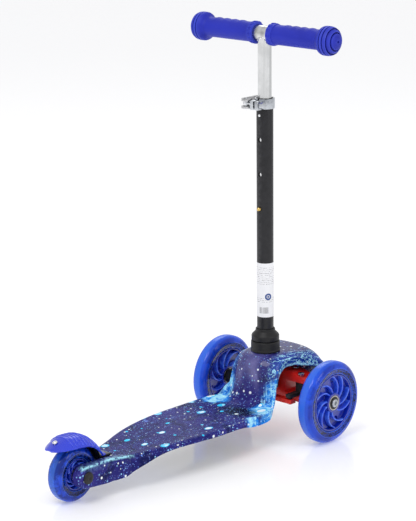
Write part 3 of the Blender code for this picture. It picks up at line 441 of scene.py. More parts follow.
looks = {
    "printed_shell": printedShellLook(),
    "black_plastic": plainPlastic("blackMouldedPlastic", color(0.006, 0.006, 0.007),
                                  color(0.014, 0.014, 0.016), 0.44,
                                  Specular_IOR_Level=0.35),
    "shoe": plainPlastic("glossBlackPlastic", color(0.004, 0.005, 0.009), color(0.010, 0.011, 0.017), 0.24,
                         coat=0.3,
                         depth=0.00005, Specular_IOR_Level=0.3),
    "bearing": bearingLook(),
    "tube_coat": plainPlastic("blackPowderCoat", color(0.009, 0.009, 0.011), color(0.018, 0.018, 0.021), 0.36,
                              2600.0,
                              0.00008, wear=0.5, Metallic=0.1, Specular_IOR_Level=0.4),
    # painted reflection: the dark streaks down the polished tubes
    "alloy": brushedMetal("polishedAlloy", color(0.74, 0.75, 0.75), color(0.36, 0.37, 0.37), 0.2, streaksAndReflection=0.85),
    "cast_alloy": brushedMetal("castAlloy", color(0.52, 0.52, 0.54), color(0.020, 0.020, 0.024), 0.2,
                               (1, 1, 1), 500.0,
                               wear=0.8, patches=0.8),
    "zinc_steel": brushedMetal("zincSteel", color(0.62, 0.65, 0.69), color(0.20, 0.22, 0.25), 0.24, (1, 1, 1),
                               600.0,
                               spangle=0.3, wear=0.6, patches=0.3),
    "bright": brushedMetal("brightRivet", color(0.86, 0.87, 0.88), color(0.6, 0.61, 0.63), 0.25, (1, 1, 1),
                           700.0),
    "brass": brushedMetal("brassPin", color(0.85, 0.62, 0.22), color(0.60, 0.40, 0.12), 0.25, (1, 1, 1),
                          700.0),
    "blue_rubber": rubberLook(),
    "clear_blue_pu": tyreLook("clearBlueTyre", 0.12),
    # painted shade: a darker copy of the same tyre, for the rear wheel under the deck
    "shaded_blue_pu": tyreLook("deepBlueTyre", 0.75),
    # painted shade: the hub's web is a darker copy of its blue, for the shade between the ribs
    "blue_hub": plainPlastic("blueHubWeb", color(0.003, 0.016, 0.30), color(0.007, 0.030, 0.48), 0.24, 900.0,
                             0.00004, coat=0.5, wear=0.6),
    # painted highlight: the ribs are a lighter copy of the same blue
    "blue_rib_lit": plainPlastic("blueHubRib", color(0.018, 0.075, 0.74), color(0.034, 0.125, 0.95), 0.2, 900.0,
                             0.00004, coat=0.6, wear=0.9),
    "blue_cover": plainPlastic("blueCoverPlastic", color(0.010, 0.030, 0.58), color(0.018, 0.052, 0.72), 0.26,
                               900.0,
                               0.00005, coat=0.45, wear=0.6),
    "red_nylon": plainPlastic("redNylon", color(0.62, 0.010, 0.007), color(0.80, 0.026, 0.016), 0.34, 700.0,
                              0.0002),
    "label_paper": labelLook(),
}
print("finishes made:", len(looks))


# mesh helpers; shapes are drawn in millimetres and turned into metres on the way out


def pieceFrom(name, mesh, slot, body, nodes=(), look=None, sharp=38):
    # the last step for every piece: material, shading, body and the nodes that it stands for
    if look or not mesh.materials:
        mesh.materials.clear()
        mesh.materials.append(looks[look or slot])
    mesh.shade_smooth()
    mesh.set_sharp_from_angle(angle=math.radians(sharp))
    made = bpy.data.objects.new(name, mesh)
    bpy.context.scene.collection.objects.link(made)
    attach(made, body)
    if nodes:
        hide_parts(*nodes)
    return made


def meshFrom(name, work, matrix=None, scale=mm):
    bmesh.ops.remove_doubles(work, verts=work.verts, dist=1e-6 / scale)
    bmesh.ops.recalc_face_normals(work, faces=work.faces)
    bmesh.ops.scale(work, vec=(scale,) * 3, verts=work.verts)
    if matrix:
        bmesh.ops.transform(work, matrix=matrix, verts=work.verts)
    mesh = bpy.data.meshes.new(name)
    work.to_mesh(mesh)
    work.free()
    return mesh


def finished(mesh, *steps):
    # runs modifiers on a mesh and gives the result; each step is (type, settings)
    holder = bpy.data.objects.new("holder", mesh)
    bpy.context.scene.collection.objects.link(holder)
    for kind, settings in steps:
        step = holder.modifiers.new(kind.lower(), kind)
        for key, value in settings.items():
            setattr(step, key, value)
    graph = bpy.context.evaluated_depsgraph_get()
    made = bpy.data.meshes.new_from_object(holder.evaluated_get(graph))
    bpy.data.objects.remove(holder)
    return made


helpers = []


def helper(mesh):
    # a cutter or an added block, hidden and removed with the others before the end
    made = bpy.data.objects.new("helper", mesh)
    bpy.context.scene.collection.objects.link(made)
    made.hide_render = True
    helpers.append(made)
    return made


def rounded(profile, size, count=3, closed=False):
    # eases the corners of a line of points; size is how far from the corner the easing starts
    eased = []
    total = len(profile)
    for index, here in enumerate(profile):
        if not closed and index in (0, total - 1):
            eased.append(Vector(here))
            continue
        here = Vector(here)
        before = Vector(profile[index - 1])
        after = Vector(profile[(index + 1) % total])
        back, ahead = before - here, after - here
        if back.length < 1e-6 or ahead.length < 1e-6 or abs(back.angle(ahead) - math.pi) < 0.12:
            eased.append(here)
            continue
        start = here + back.normalized() * min(size, back.length * 0.45)
        end = here + ahead.normalized() * min(size, ahead.length * 0.45)
        for step in range(count + 1):
            t = step / count
            eased.append(start * (1 - t) ** 2 + here * 2 * t * (1 - t) + end * t**2)
    return [tuple(point) for point in eased]


def lathe(profile, steps=96, closed=False, shape=None):
    # turns (radius, height) points about Z; shape may move a point as a function of its angle
    work = bmesh.new()
    uv = work.loops.layers.uv.new("UVMap")
    radius = work.verts.layers.float.new("radius")
    radii = [point[0] for point in profile]
    least, widest = min(radii), max(radii)
    rings = []
    for step in range(steps):
        angle = 2 * math.pi * step / steps
        ring = []
        for r, h in profile:
            if shape:
                r, h = shape(angle, r, h)
            vertex = work.verts.new((r * math.cos(angle), r * math.sin(angle), h))
            vertex[radius] = (r - least) / (widest - least)
            ring.append(vertex)
        rings.append(ring)
    rows = len(profile)
    for step in range(steps):
        here, after = rings[step], rings[(step + 1) % steps]
        for row in range(rows if closed else rows - 1):
            below = (row + 1) % rows
            corners = [here[row], here[below], after[below], after[row]]
            places = [(step, row), (step, row + 1), (step + 1, row + 1), (step + 1, row)]
            keep = [(c, p) for i, (c, p) in enumerate(zip(corners, places))
                    if (c.co - corners[i - 1].co).length > 1e-7]
            if len(keep) < 3:
                continue
            face = work.faces.new([c for c, _ in keep])
            for loop, (_, (turn, row_)) in zip(face.loops, keep):
                loop[uv].uv = (turn / steps, row_ / rows)
    return work


def turnTo(place, direction, spin=0.0):
    # Z laid along direction, at a place in metres
    direction = Vector(direction).normalized()
    turn = Vector((0, 0, 1)).rotation_difference(direction).to_matrix().to_4x4()
    return Matrix.Translation(place) @ turn @ Matrix.Rotation(spin, 4, "Z")


def extruded(outline, half, easing=0.0):
    # a closed outline in XY with thickness along Z
    work = bmesh.new()
    points = rounded(outline, easing, 3, True) if easing else outline
    low = [work.verts.new((x, y, -half)) for x, y in points]
    high = [work.verts.new((x, y, half)) for x, y in points]
    work.faces.new(high)
    work.faces.new(low[::-1])
    count = len(points)
    for i in range(count):
        j = (i + 1) % count
        work.faces.new((low[i], low[j], high[j], high[i]))
    return work


def arc(centre, radius, start, end, count):
    angles = [math.radians(start + (end - start) * i / (count - 1)) for i in range(count)]
    return [(centre[0] + radius * math.cos(a), centre[1] + radius * math.sin(a)) for a in angles]


def middle(node):
    low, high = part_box(node)
    return (low + high) / 2


def bevelStep(width, segments=3, degrees=32):
    return ("BEVEL", dict(width=width * mm, segments=segments, limit_method="ANGLE",
                          angle_limit=math.radians(degrees), harden_normals=False))


def refined(name, node, slot, bevel=0.0, look=None, sharp=38):
    # a merged copy of the solid, with its flat faces joined and its edges eased
    work = bmesh.new()
    work.from_mesh(frame["nodes"][node].data)
    bmesh.ops.remove_doubles(work, verts=work.verts, dist=2e-6)
    bmesh.ops.dissolve_limit(work, angle_limit=math.radians(1.0), verts=work.verts, edges=work.edges)
    bmesh.ops.recalc_face_normals(work, faces=work.faces)
    mesh = bpy.data.meshes.new(name)
    work.to_mesh(mesh)
    work.free()
    if bevel:
        mesh = finished(mesh, bevelStep(bevel))
    return pieceFrom(name, mesh, slot, bodyOfNode[node], [node], look or slot, sharp)


# geometry node trees


class Grower(Tree):
    # a geometry tree with named inputs that ends in Realize Instances and Set Material
    def __init__(self, name, sizes):
        tree = bpy.data.node_groups.new(name, "GeometryNodeTree")
        super().__init__(tree)
        tree.interface.new_socket("Geometry", in_out="INPUT", socket_type="NodeSocketGeometry")
        self.keys = {}
        for label, value in sizes.items():
            kind = "NodeSocketInt" if isinstance(value, int) else "NodeSocketFloat"
            socket = tree.interface.new_socket(label, in_out="INPUT", socket_type=kind)
            socket.default_value = value
            self.keys[label] = socket.identifier
        tree.interface.new_socket("Geometry", in_out="OUTPUT", socket_type="NodeSocketGeometry")
        self.start = tree.nodes.new("NodeGroupInput")

    def size(self, label):
        return Value(self, self.start.outputs[label])

    def finish(self, geometry, slot):
        solid = self.node("GeometryNodeRealizeInstances", {}, {"Geometry": geometry})
        solid = self.node("GeometryNodeSetMaterial", {}, {"Geometry": solid, "Material": looks[slot]})
        end = self.tree.nodes.new("NodeGroupOutput")
        self.tree.links.new(solid.socket, end.inputs[0])
        return self

    def vector(self, x=0.0, y=0.0, z=0.0):
        return self.node("ShaderNodeCombineXYZ", {}, {0: x, 1: y, 2: z})

    def grow(self, name, sizes, start=None, matrix=None):
        # the grown mesh for one body; inputs are set by identifier before the first evaluation
        holder = bpy.data.objects.new(name, start or bpy.data.meshes.new(name))
        bpy.context.scene.collection.objects.link(holder)
        step = holder.modifiers.new("grow", "NODES")
        step.node_group = self.tree
        for label, value in sizes.items():
            step[self.keys[label]] = value
        graph = bpy.context.evaluated_depsgraph_get()
        mesh = bpy.data.meshes.new_from_object(holder.evaluated_get(graph))
        bpy.data.objects.remove(holder)
        work = bmesh.new()
        work.from_mesh(mesh)
        bmesh.ops.remove_doubles(work, verts=work.verts, dist=1e-7)
        bmesh.ops.recalc_face_normals(work, faces=work.faces)
        if matrix:
            bmesh.ops.transform(work, matrix=matrix, verts=work.verts)
        work.to_mesh(mesh)
        work.free()
        return mesh


def ribTree():
    # curved ribs from a boss to a rim, set round an axis in close pairs
    sizes = {"Pairs": 5, "Inner": 0.013, "Outer": 0.038, "Sweep": 0.62, "Gap": 0.35, "Width": 0.0008,
             "Height": 0.01}
    tree = Grower("swirlRibs", sizes)
    line = tree.node("GeometryNodeCurvePrimitiveLine", {}, {"Start": (0, 0, 0), "End": (1, 0, 0)})
    line = tree.node("GeometryNodeResampleCurve", {}, {"Curve": line, "Count": 12})
    share = tree.node("GeometryNodeSplineParameter", {}, {}, "Factor")
    reach = tree.size("Inner") + (tree.size("Outer") - tree.size("Inner")) * share
    angle = (share ** 1.35) * tree.size("Sweep")
    bent = tree.vector(reach * angle.sum("COSINE"), reach * angle.sum("SINE"))
    line = tree.node("GeometryNodeSetPosition", {}, {"Geometry": line, "Position": bent})
    wall = tree.node("GeometryNodeCurvePrimitiveQuadrilateral", {}, {"Width": tree.size("Width") * 2,
                                                                       "Height": tree.size("Height") * 2})
    wall = tree.node("GeometryNodeFilletCurve", {}, {"Curve": wall, "Radius": tree.size("Width") * 0.8})
    rib = tree.node("GeometryNodeCurveToMesh", {}, {"Curve": line, "Profile Curve": wall, "Fill Caps": True})
    points = tree.node("GeometryNodePoints", {}, {"Count": tree.size("Pairs") * 2})
    index = tree.node("GeometryNodeInputIndex")
    pair = (index / 2.0).sum("FLOOR")
    turn = (pair + (index - pair * 2.0) * tree.size("Gap")) * (2 * math.pi) / tree.size("Pairs")
    ribs = tree.node("GeometryNodeInstanceOnPoints", {}, {"Points": points, "Instance": rib,
                                                          "Rotation": tree.vector(z=turn)})
    return tree.finish(ribs, "blue_rib_lit")


def archTree():
    # raised ribs across a crowned cover; each point of the start mesh carries its rib's size
    tree = Grower("crownRibs", {"Radius": 0.0008, "Power": 2.4, "Steps": 25})
    line = tree.node("GeometryNodeCurvePrimitiveLine", {}, {"Start": (0, -1, 0), "End": (0, 1, 0)})
    line = tree.node("GeometryNodeResampleCurve", {}, {"Curve": line, "Count": tree.size("Steps")})
    place = tree.node("GeometryNodeInputPosition")
    across = tree.node("ShaderNodeSeparateXYZ", {}, {0: place}, 1)
    bow = (abs(across) ** tree.size("Power")) * -1
    line = tree.node("GeometryNodeSetPosition", {},
                     {"Geometry": line, "Position": tree.vector(0.0, across, bow)})
    start = Value(tree, tree.start.outputs["Geometry"])
    size = tree.node("GeometryNodeInputNamedAttribute", dict(data_type="FLOAT_VECTOR"), {"Name": "ribSize"})
    lines = tree.node("GeometryNodeInstanceOnPoints", {}, {"Points": start, "Instance": line, "Scale": size})
    lines = tree.node("GeometryNodeRealizeInstances", {}, {"Geometry": lines})
    ring = tree.node("GeometryNodeCurvePrimitiveCircle", {},
                     {"Resolution": 10, "Radius": tree.size("Radius")})
    ribs = tree.node("GeometryNodeCurveToMesh", {},
                     {"Curve": lines, "Profile Curve": ring, "Fill Caps": True})
    return tree.finish(ribs, "blue_cover")


def ringTree(name, slot):
    # soft blocks set round an axis, such as the teeth of a collar
    sizes = {"Count": 14, "Radius": 0.015, "Long": 0.006, "Wide": 0.003, "Deep": 0.002}
    tree = Grower(name, sizes)
    block = tree.node("GeometryNodeMeshCube", {}, {"Size": tree.vector(tree.size("Deep"), tree.size("Wide"),
                                                                        tree.size("Long")),
                                                   "Vertices X": 3, "Vertices Y": 4, "Vertices Z": 4})
    block = tree.node("GeometryNodeSubdivisionSurface", {}, {"Mesh": block, "Level": 1, "Edge Crease": 0.3})
    points = tree.node("GeometryNodePoints", {}, {"Count": tree.size("Count")})
    turn = tree.node("GeometryNodeInputIndex") * (2 * math.pi) / tree.size("Count")
    spot = tree.vector(turn.sum("COSINE") * tree.size("Radius"), turn.sum("SINE") * tree.size("Radius"))
    points = tree.node("GeometryNodeSetPosition", {}, {"Geometry": points, "Position": spot})
    blocks = tree.node("GeometryNodeInstanceOnPoints", {}, {"Points": points, "Instance": block,
                                                            "Rotation": tree.vector(z=turn)})
    return tree.finish(blocks, slot)


def coilTree():
    sizes = {"Turns": 4.0, "Radius": 0.0046, "Height": 0.018, "Wire": 0.0008}
    tree = Grower("coilSpring", sizes)
    line = tree.node("GeometryNodeCurveSpiral", {}, {
        "Resolution": 24, "Rotations": tree.size("Turns"), "Start Radius": tree.size("Radius"),
        "End Radius": tree.size("Radius"), "Height": tree.size("Height")})
    ring = tree.node("GeometryNodeCurvePrimitiveCircle", {}, {"Resolution": 10, "Radius": tree.size("Wire")})
    coil = tree.node("GeometryNodeCurveToMesh", {}, {"Curve": line, "Profile Curve": ring, "Fill Caps": True})
    return tree.finish(coil, "zinc_steel")


swirlRibs = ribTree()
crownRibs = archTree()
gripTeeth = ringTree("gripTeeth", "blue_rubber")
coilSpring = coilTree()
print("geometry trees made")


# deck shell

deck = {
    "wall": 3.0, "slotHalf": 14.5, "forkHalf": 30.0, "forkEnd": 15.5, "dish": 2.5, "domeBack": 0.9,
    "slotFrom": -260, "slotTo": -158, "axleBore": 4.2, "pocketFrom": -202, "pocketTo": -172,
    "pocketHalf": 4.5,
    "pocketY": 22.2, "stationGap": 4.0, "screws": 5,
    "noseX": 226.0, "noseScale": 0.56, "holeRadius": 17.0, "topSteps": 18, "shoulderSteps": 6,
    "skirtSteps": 5,
    "halfWidth": [(-165, 30), (-135, 34), (-118, 39.5), (-88, 47), (-66, 51.5), (-44, 55), (-21, 57.5),
                  (2, 59.2),
                  (22, 60), (105, 60), (121, 59), (131, 55), (143.5, 48.5), (156, 41.5), (164, 40.5),
                  (179, 40),
                  (194, 41), (207, 47), (217, 55), (224, 63), (230, 68), (238, 70), (242, 66), (245, 58),
                  (248, 47), (250.5, 38), (252.5, 28)],
    "lip": [(-165, 21), (-147, 21.5), (-135, 26), (-118, 33), (-88, 43), (-66, 46), (-44, 46.5), (40, 46),
            (62, 45), (82, 41.5), (98, 40.5), (114, 41), (124, 43.5), (131, 49), (143.5, 64),
            (156, 78), (160, 88), (164, 96), (179, 104), (194, 104), (207, 102),
            (228, 100), (238, 99), (242, 96), (245, 88), (248, 76), (250.5, 65), (252.5, 57)],
    "edge": [(-165, 51), (-118, 51), (-88, 52.5), (-44, 54.4), (0, 55), (131, 55), (260, 55)],
    "shoulder": [(-165, 10), (-118, 9), (-88, 7), (-44, 5), (0, 4), (131, 3.5), (160, 3), (200, 4), (230, 6),
                 (245, 4), (252.5, 2)],
    "dome": [(0, 121.8), (20, 121.5), (24, 121), (31, 118), (38, 111), (41.5, 105), (44, 97), (46, 88),
             (47.5, 77), (50, 66), (54, 59), (60, 55.5), (68, 52), (90, 40)],
    "domeSide": [(120, 1.1), (185, 1.1), (205, 1.3), (226, 1.6), (260, 1.6)],
    "stations": [-165, -147, -132, -118, -103, -88, -66, -44, -21, 5, 60, 108, 122, 131, 137, 141, 146, 151,
                 156, 164, 174, 190, 203, 213, 221, 229, 238, 243, 246, 249, 251, 252.5],
}
stemAxis = Vector(joints["height_slide"]["axis"]).normalized()
tubeLow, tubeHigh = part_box("outer_tube")
tubeRadius = (tubeHigh.y - tubeLow.y) / 2
lean = math.asin(-stemAxis.x)
stemFoot = Vector((tubeHigh.x - tubeRadius * math.cos(lean), 0, tubeLow.z + tubeRadius * math.sin(lean)))
stemOrigin = stemFoot - stemAxis * 88.5 * mm
stemMatrix = turnTo(stemOrigin, stemAxis)
rearAxle = middle("rear_axle")


def slopeBetween(before, here, after, fallback):
    if here == before or here == after:
        return fallback
    first = (here[1] - before[1]) / (here[0] - before[0])
    second = (after[1] - here[1]) / (after[0] - here[0])
    return 0.0 if first * second <= 0 else 2 * first * second / (first + second)


def along(table, x):
    # a smooth curve through the table's points that doesn't overshoot
    if x <= table[0][0]:
        return table[0][1]
    for i in range(len(table) - 1):
        (x0, y0), (x1, y1) = table[i], table[i + 1]
        if x <= x1:
            slope, span = (y1 - y0) / (x1 - x0), x1 - x0
            start = slopeBetween(table[max(i - 1, 0)], (x0, y0), (x1, y1), slope)
            end = slopeBetween((x0, y0), (x1, y1), table[min(i + 2, len(table) - 1)], slope)
            t = (x - x0) / span
            return ((2 * t**3 - 3 * t**2 + 1) * y0 + (t**3 - 2 * t**2 + t) * span * start
                    + (3 * t**2 - 2 * t**3) * y1 + (t**3 - t**2) * span * end)
    return table[-1][1]


def softMax(first, second, ease):
    # the larger of two heights, with a fillet where they cross
    gap = max(ease - abs(first - second), 0.0) / ease
    return max(first, second) + gap * gap * ease * 0.25


def topHeight(x, y):
    half = along(deck["halfWidth"], x)
    across = min(abs(y) / half, 1.0)
    plain = along(deck["edge"], x) - deck["dish"] * (1 - across**4) if x < 175 else 0.0
    stemX = (stemOrigin.x + stemAxis.x * 0.1) / mm
    behind = min(x - stemX, 0.0) / deck["domeBack"]
    ahead = max(x - deck["noseX"], 0.0) / deck["noseScale"]
    beside = y / along(deck["domeSide"], x)
    dome = along(deck["dome"], math.sqrt(behind**2 + ahead**2 + beside**2))
    rim = along(deck["lip"], x) + 3.5 - 0.9 * (half - abs(y))
    return max(softMax(plain, dome, 3.0), rim)


def shellSection(x):
    half, lip = along(deck["halfWidth"], x), along(deck["lip"], x)
    shoulder = along(deck["shoulder"], x)
    inner = half - shoulder
    points = [(inner * i / deck["topSteps"], topHeight(x, inner * i / deck["topSteps"]))
              for i in range(deck["topSteps"])]
    shoulderZ = topHeight(x, inner)
    drop = min(shoulder, (shoulderZ - lip) * 0.7)
    for i in range(deck["shoulderSteps"] + 1):
        angle = math.pi / 2 * i / deck["shoulderSteps"]
        points.append((inner + shoulder * math.sin(angle), shoulderZ - drop * (1 - math.cos(angle))))
    low = points[-1][1]
    for i in range(1, deck["skirtSteps"] + 1):
        points.append((half, low + (lip - low) * i / deck["skirtSteps"]))
    return points


def finerStations(stations, span):
    fine = []
    for here, ahead in zip(stations, stations[1:]):
        count = max(1, math.ceil((ahead - here) / span))
        fine += [here + (ahead - here) * i / count for i in range(count)]
    return fine + [stations[-1]]


def near(value, place, reach):
    return max(0.0, 1.0 - abs(value - place) / reach)


def paintShell(mesh):
    # marks that steer the print: flanks, rims (a painted highlight along the edges), dome, bright clouds,
    # glow (a painted highlight on the dome) and the dark patch behind the dome
    marks = {"flank": [], "rim": [], "dome": [], "shade": [], "cloud": [], "glow": [], "deckTop": []}
    for vertex in mesh.vertices:
        x, y, z = vertex.co / mm
        half = along(deck["halfWidth"], x)
        lip = along(deck["lip"], x)
        top = topHeight(x, min(abs(y), half))
        side = max(0.0, min(1.0, (abs(y) - half * 0.60) / (half * 0.25)))
        front = max(0.0, min(1.0, (x - 96) / 26))
        marks["flank"].append(side * front)
        foot = near(x, 119, 34) * near(abs(y), 45, 30) * 1.9
        root = near(x, 82, 20) * near(abs(y), 60, 16) * 1.4
        climb = near(x, 132 + (z - 60) * 0.5, 27) * near(abs(y), 44, 22) * near(z, 74, 42) * 1.8
        marks["cloud"].append(min(1.0, max(foot, root, climb)))
        # the rim mark is a painted highlight: along the lip by the dome, the deck's edge and the top of each
        # fork arm
        lipHighlight = near(z, lip + 2.0, 1.8) if x > 131 else 0.0
        edgeHighlight = near(z, top, 1.4) * near(half - abs(y), 1.5, 2.0)
        towardsEnd = max(0.0, min(1.0, (-50 - x) / 60)) if x < 80 else near(x, 118, 30)
        armHighlight = near(z, 52.4 - max(0.0, x + 172) * 0.14, 1.9) * near(abs(y), 28, 5) if x < -120 else 0.0
        marks["rim"].append(min(1.0, max(lipHighlight, edgeHighlight * (0.15 + towardsEnd), armHighlight * 1.5)))
        marks["dome"].append(max(0.0, min(1.0, (z - 66) / 22)))
        behind = near(x, 96, 24) * near(y, -20, 40)
        marks["shade"].append(min(1.0, behind * 2.2) * (1.0 if abs(y) < half - 14 else 0.3))
        # painted highlight: a fixed pale patch on each flank of the dome and one on its crest
        domeHighlight = near(x, 130, 13) * near(abs(y), 15, 12) * near(z, 93, 15)
        crestHighlight = near(x, 172, 20) * near(abs(y), 8, 14) * near(z, 119, 8)
        marks["glow"].append(min(1.0, domeHighlight * 1.5 + crestHighlight * 0.5))
        marks["deckTop"].append(1.0 if z < 58 and abs(y) < half - 1.2 and x > -150 else 0.0)
    for name, values in marks.items():
        mesh.attributes.new(name, "FLOAT", "POINT").data.foreach_set("value", values)


def forkArm(side):
    # one arm of the rear fork, with a round end about the axle
    axleX, axleZ = rearAxle.x / mm, rearAxle.z / mm
    top = [(-128, 46), (-140, 49), (-152, 51), (-172, 53), (-195, 54)]
    low = [(-200, 21.5), (-180, 20), (-160, 20), (-147, 22), (-134, 29)]
    outline = top + arc((axleX, axleZ), deck["forkEnd"], 88, 265, 29) + low
    half = (deck["forkHalf"] - deck["slotHalf"]) / 2
    work = extruded(outline, half)
    place = Matrix.Translation((0, side * (deck["forkHalf"] + deck["slotHalf"]) / 2 * mm, 0))
    upright = Matrix.Rotation(math.radians(90), 4, "X")
    return finished(meshFrom("forkArm", work, place @ upright), bevelStep(3.6, 5, 50))


def buildShell():
    work = bmesh.new()
    rows = []
    for x in finerStations(deck["stations"], deck["stationGap"]):
        right = shellSection(x)
        full = [(-y, z) for y, z in reversed(right[1:])] + right
        rows.append([work.verts.new((x, y, z)) for y, z in full])
    for here, ahead in zip(rows, rows[1:]):
        for i in range(len(here) - 1):
            work.faces.new((here[i], ahead[i], ahead[i + 1], here[i + 1]))
    skin = meshFrom("shellSkin", work)
    wall = ("SOLIDIFY", dict(thickness=deck["wall"] * mm, offset=-1.0, use_even_offset=False))
    slotFrom, slotTo, slotHalf = deck["slotFrom"], deck["slotTo"], deck["slotHalf"]
    slot = [(slotFrom, -slotHalf), (slotTo, -slotHalf), (slotTo, slotHalf), (slotFrom, slotHalf)]
    bore, hole = deck["axleBore"], deck["holeRadius"]
    cuts = [
        (forkArm(1), "UNION"), (forkArm(-1), "UNION"),
        (meshFrom("slot", extruded(slot, 60), Matrix.Translation((0, 0, 0.03))), "DIFFERENCE"),
        (meshFrom("axleBore", lathe([(0, 40), (bore, 40), (bore, -40), (0, -40)], 32),
                  turnTo(rearAxle, (0, 1, 0))), "DIFFERENCE"),
        (meshFrom("stemHole", lathe([(0, 30), (hole, 30), (hole, 0), (0, 0)], 64),
                  turnTo(stemOrigin + stemAxis * 0.103, (0, 0, 1))), "DIFFERENCE"),
    ]
    back, front, half = deck["pocketFrom"], deck["pocketTo"], deck["pocketHalf"]
    for side in (1, -1):
        pocket = extruded([(back, -half), (front, -half), (front, half), (back, half)], 23)
        spot = Matrix.Translation((0, side * deck["pocketY"] * mm, 23 * mm))
        cuts.append((meshFrom("pocket", pocket, spot), "DIFFERENCE"))
    steps = [wall]
    for mesh, operation in cuts:
        steps.append(("BOOLEAN", dict(object=helper(mesh), operation=operation, solver="EXACT")))
    mesh = finished(skin, *steps)
    paintShell(mesh)
    return pieceFrom("deckShell", mesh, "printed_shell", bodyOfNode["deck_shell"], ["deck_shell"], None, 42)


buildShell()
print("deck shell made")


# under the deck

def buildBase():
    refined("deckBase", "deck_base", "black_plastic", 0.4)
    head = rounded([(0, -1.8), (1.3, -1.9), (2.6, -1.7), (3.6, -0.8), (3.6, 0.0), (1.7, 0.0), (1.7, 2.0),
                    (0, 2.4)], 0.3)
    cross = [(-2, -0.4), (-0.4, -0.4), (-0.4, -2), (0.4, -2), (0.4, -0.4), (2, -0.4), (2, 0.4), (0.4, 0.4),
             (0.4, 2), (-0.4, 2), (-0.4, 0.4), (-2, 0.4)]
    for number in range(1, deck["screws"] + 1):
        node = f"deck_screw_{number}"
        centre, low = middle(node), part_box(node)[0]
        mesh = meshFrom(node, lathe(head, 32), Matrix.Translation((centre.x, centre.y, low.z + 1.9 * mm)))
        recess = meshFrom("cross", extruded(cross, 1.2), Matrix.Translation((centre.x, centre.y, low.z)))
        mesh = finished(mesh, ("BOOLEAN", dict(object=helper(recess), operation="DIFFERENCE",
                                               solver="EXACT")))
        pieceFrom(f"deckScrew{number}", mesh, "zinc_steel", bodyOfNode[node], [node])


buildBase()


# wheels

wheel = {
    "front": {"radius": 60.0, "rim": 41.5, "pairs": 5, "cast": None},
    "rear": {"radius": 38.5, "rim": 21.5, "pairs": 4, "cast": "shaded_blue_pu"},
    "half": 12.0, "bearing": 11.0, "bearingFrom": 4.2, "bearingTo": 11.2, "axle": 4.15, "turned": 0.35,
    "sweep": 0.75, "gap": 0.42, "ribWidth": 1.15, "holeRing": 31, "holeRadius": 3.3, "holeTurn": 0.86,
}


def tyreProfile(outer, inner):
    half = wheel["half"]
    side = [(inner + 0.5, half - 1.9), (inner + 1.0, half - 1.4), (inner + 1.8, half - 1.25),
            (inner + 6.4, half - 1.0),
            (inner + 6.8, half - 0.55), (inner + 7.4, half - 0.45), (outer - 11.2, half - 0.05)]
    crown = [(outer - 11 + 11 * math.sin(a), half - 9.5 + 9.5 * math.cos(a))
             for a in [math.radians(8 + 82 * i / 12) for i in range(13)]]
    top = side + crown
    return top + [(r, -h) for r, h in reversed(top[:-1])]


def hubProfile(rim):
    half, boss, bore = wheel["half"], wheel["bearing"] + 3.2, wheel["bearing"] + 0.05
    inner, seat = rim - 2.2, half - 8
    line = [(rim, half - 1.5), (rim, -half + 1.5), (inner, -half + 1.5), (inner - 0.4, -3), (boss, -2.2),
            (boss, -half + 1), (bore, -half + 1), (bore, -seat), (9, -seat), (9, seat), (bore, seat),
            (bore, half - 1),
            (boss, half - 1), (boss, 2.2), (inner - 0.4, 3), (inner, half - 1.5)]
    return rounded(line, 0.7, 3, True)


def bearingProfile(low, high):
    # outer race, a shield set back a little, and the inner race
    face = [(10.9, high), (9.3, high), (9.1, high - 0.4), (6.2, high - 0.4), (6.0, high),
            (wheel["axle"], high)]
    back = [(r, low + (high - h)) for r, h in reversed(face)]
    return rounded(face + back, 0.25, 2, True)


def buildWheel(label, kind, node, side):
    sizes = wheel[kind]
    centre = middle(node + "_tyre")
    laid = turnTo(centre, (0, side, 0), wheel["turned"])
    body = bodyOfNode[node + "_tyre"]
    tyre = meshFrom(label + "Tyre", lathe(tyreProfile(sizes["radius"], sizes["rim"] + 0.3), 144, True), laid)
    pieceFrom(label + "Tyre", tyre, "clear_blue_pu", body, [node + "_tyre"], sizes["cast"], 50)
    hub = meshFrom(label + "Hub", lathe(hubProfile(sizes["rim"]), 96, True), laid)
    if kind == "front":
        holes = []
        ring, hole = wheel["holeRing"], wheel["holeRadius"]
        for number in range(sizes["pairs"]):
            turn = 2 * math.pi * (number + wheel["holeTurn"]) / sizes["pairs"]
            spot = laid @ Matrix.Translation((ring * mm * math.cos(turn), ring * mm * math.sin(turn), 0))
            holes.append(helper(meshFrom("hubHole", lathe([(0, 8), (hole, 8), (hole, -8), (0, -8)], 20),
                                         spot)))
        hub = finished(hub, *[("BOOLEAN", dict(object=h, operation="DIFFERENCE",
                                               solver="EXACT")) for h in holes])
    # the hub takes the darker copy of the blue (painted shade) and the ribs the lighter one (painted
    # highlight)
    pieceFrom(label + "Hub", hub, "blue_hub", body, [node + "_hub"])
    spokes = {"Pairs": sizes["pairs"], "Inner": (wheel["bearing"] + 2.6) * mm,
              "Outer": (sizes["rim"] - 1.4) * mm,
              "Sweep": wheel["sweep"], "Gap": wheel["gap"], "Width": wheel["ribWidth"] * mm,
              "Height": (wheel["half"] - 2.4) * mm}
    ribs = swirlRibs.grow(label + "Ribs", spokes, None, laid)
    pieceFrom(label + "Ribs", ribs, "blue_hub", body, (), "blue_rib_lit")
    for name, sign in (("outer", 1), ("inner", -1)):
        low, high = sorted((sign * wheel["bearingFrom"], sign * wheel["bearingTo"]))
        race = meshFrom("race", lathe(bearingProfile(low, high), 64, True), laid)
        spot = f"{node}_bearing_{name}"
        pieceFrom(f"{label}Bearing{name.title()}", race, "zinc_steel", body, [spot], "bearing")
    refined(label + "Spacer", node + "_spacer", "alloy", 0.0)


buildWheel("frontLeft", "front", "front_left", 1)
buildWheel("frontRight", "front", "front_right", -1)
buildWheel("rear", "rear", "rear", 1)
print("wheels made")


# axle hardware

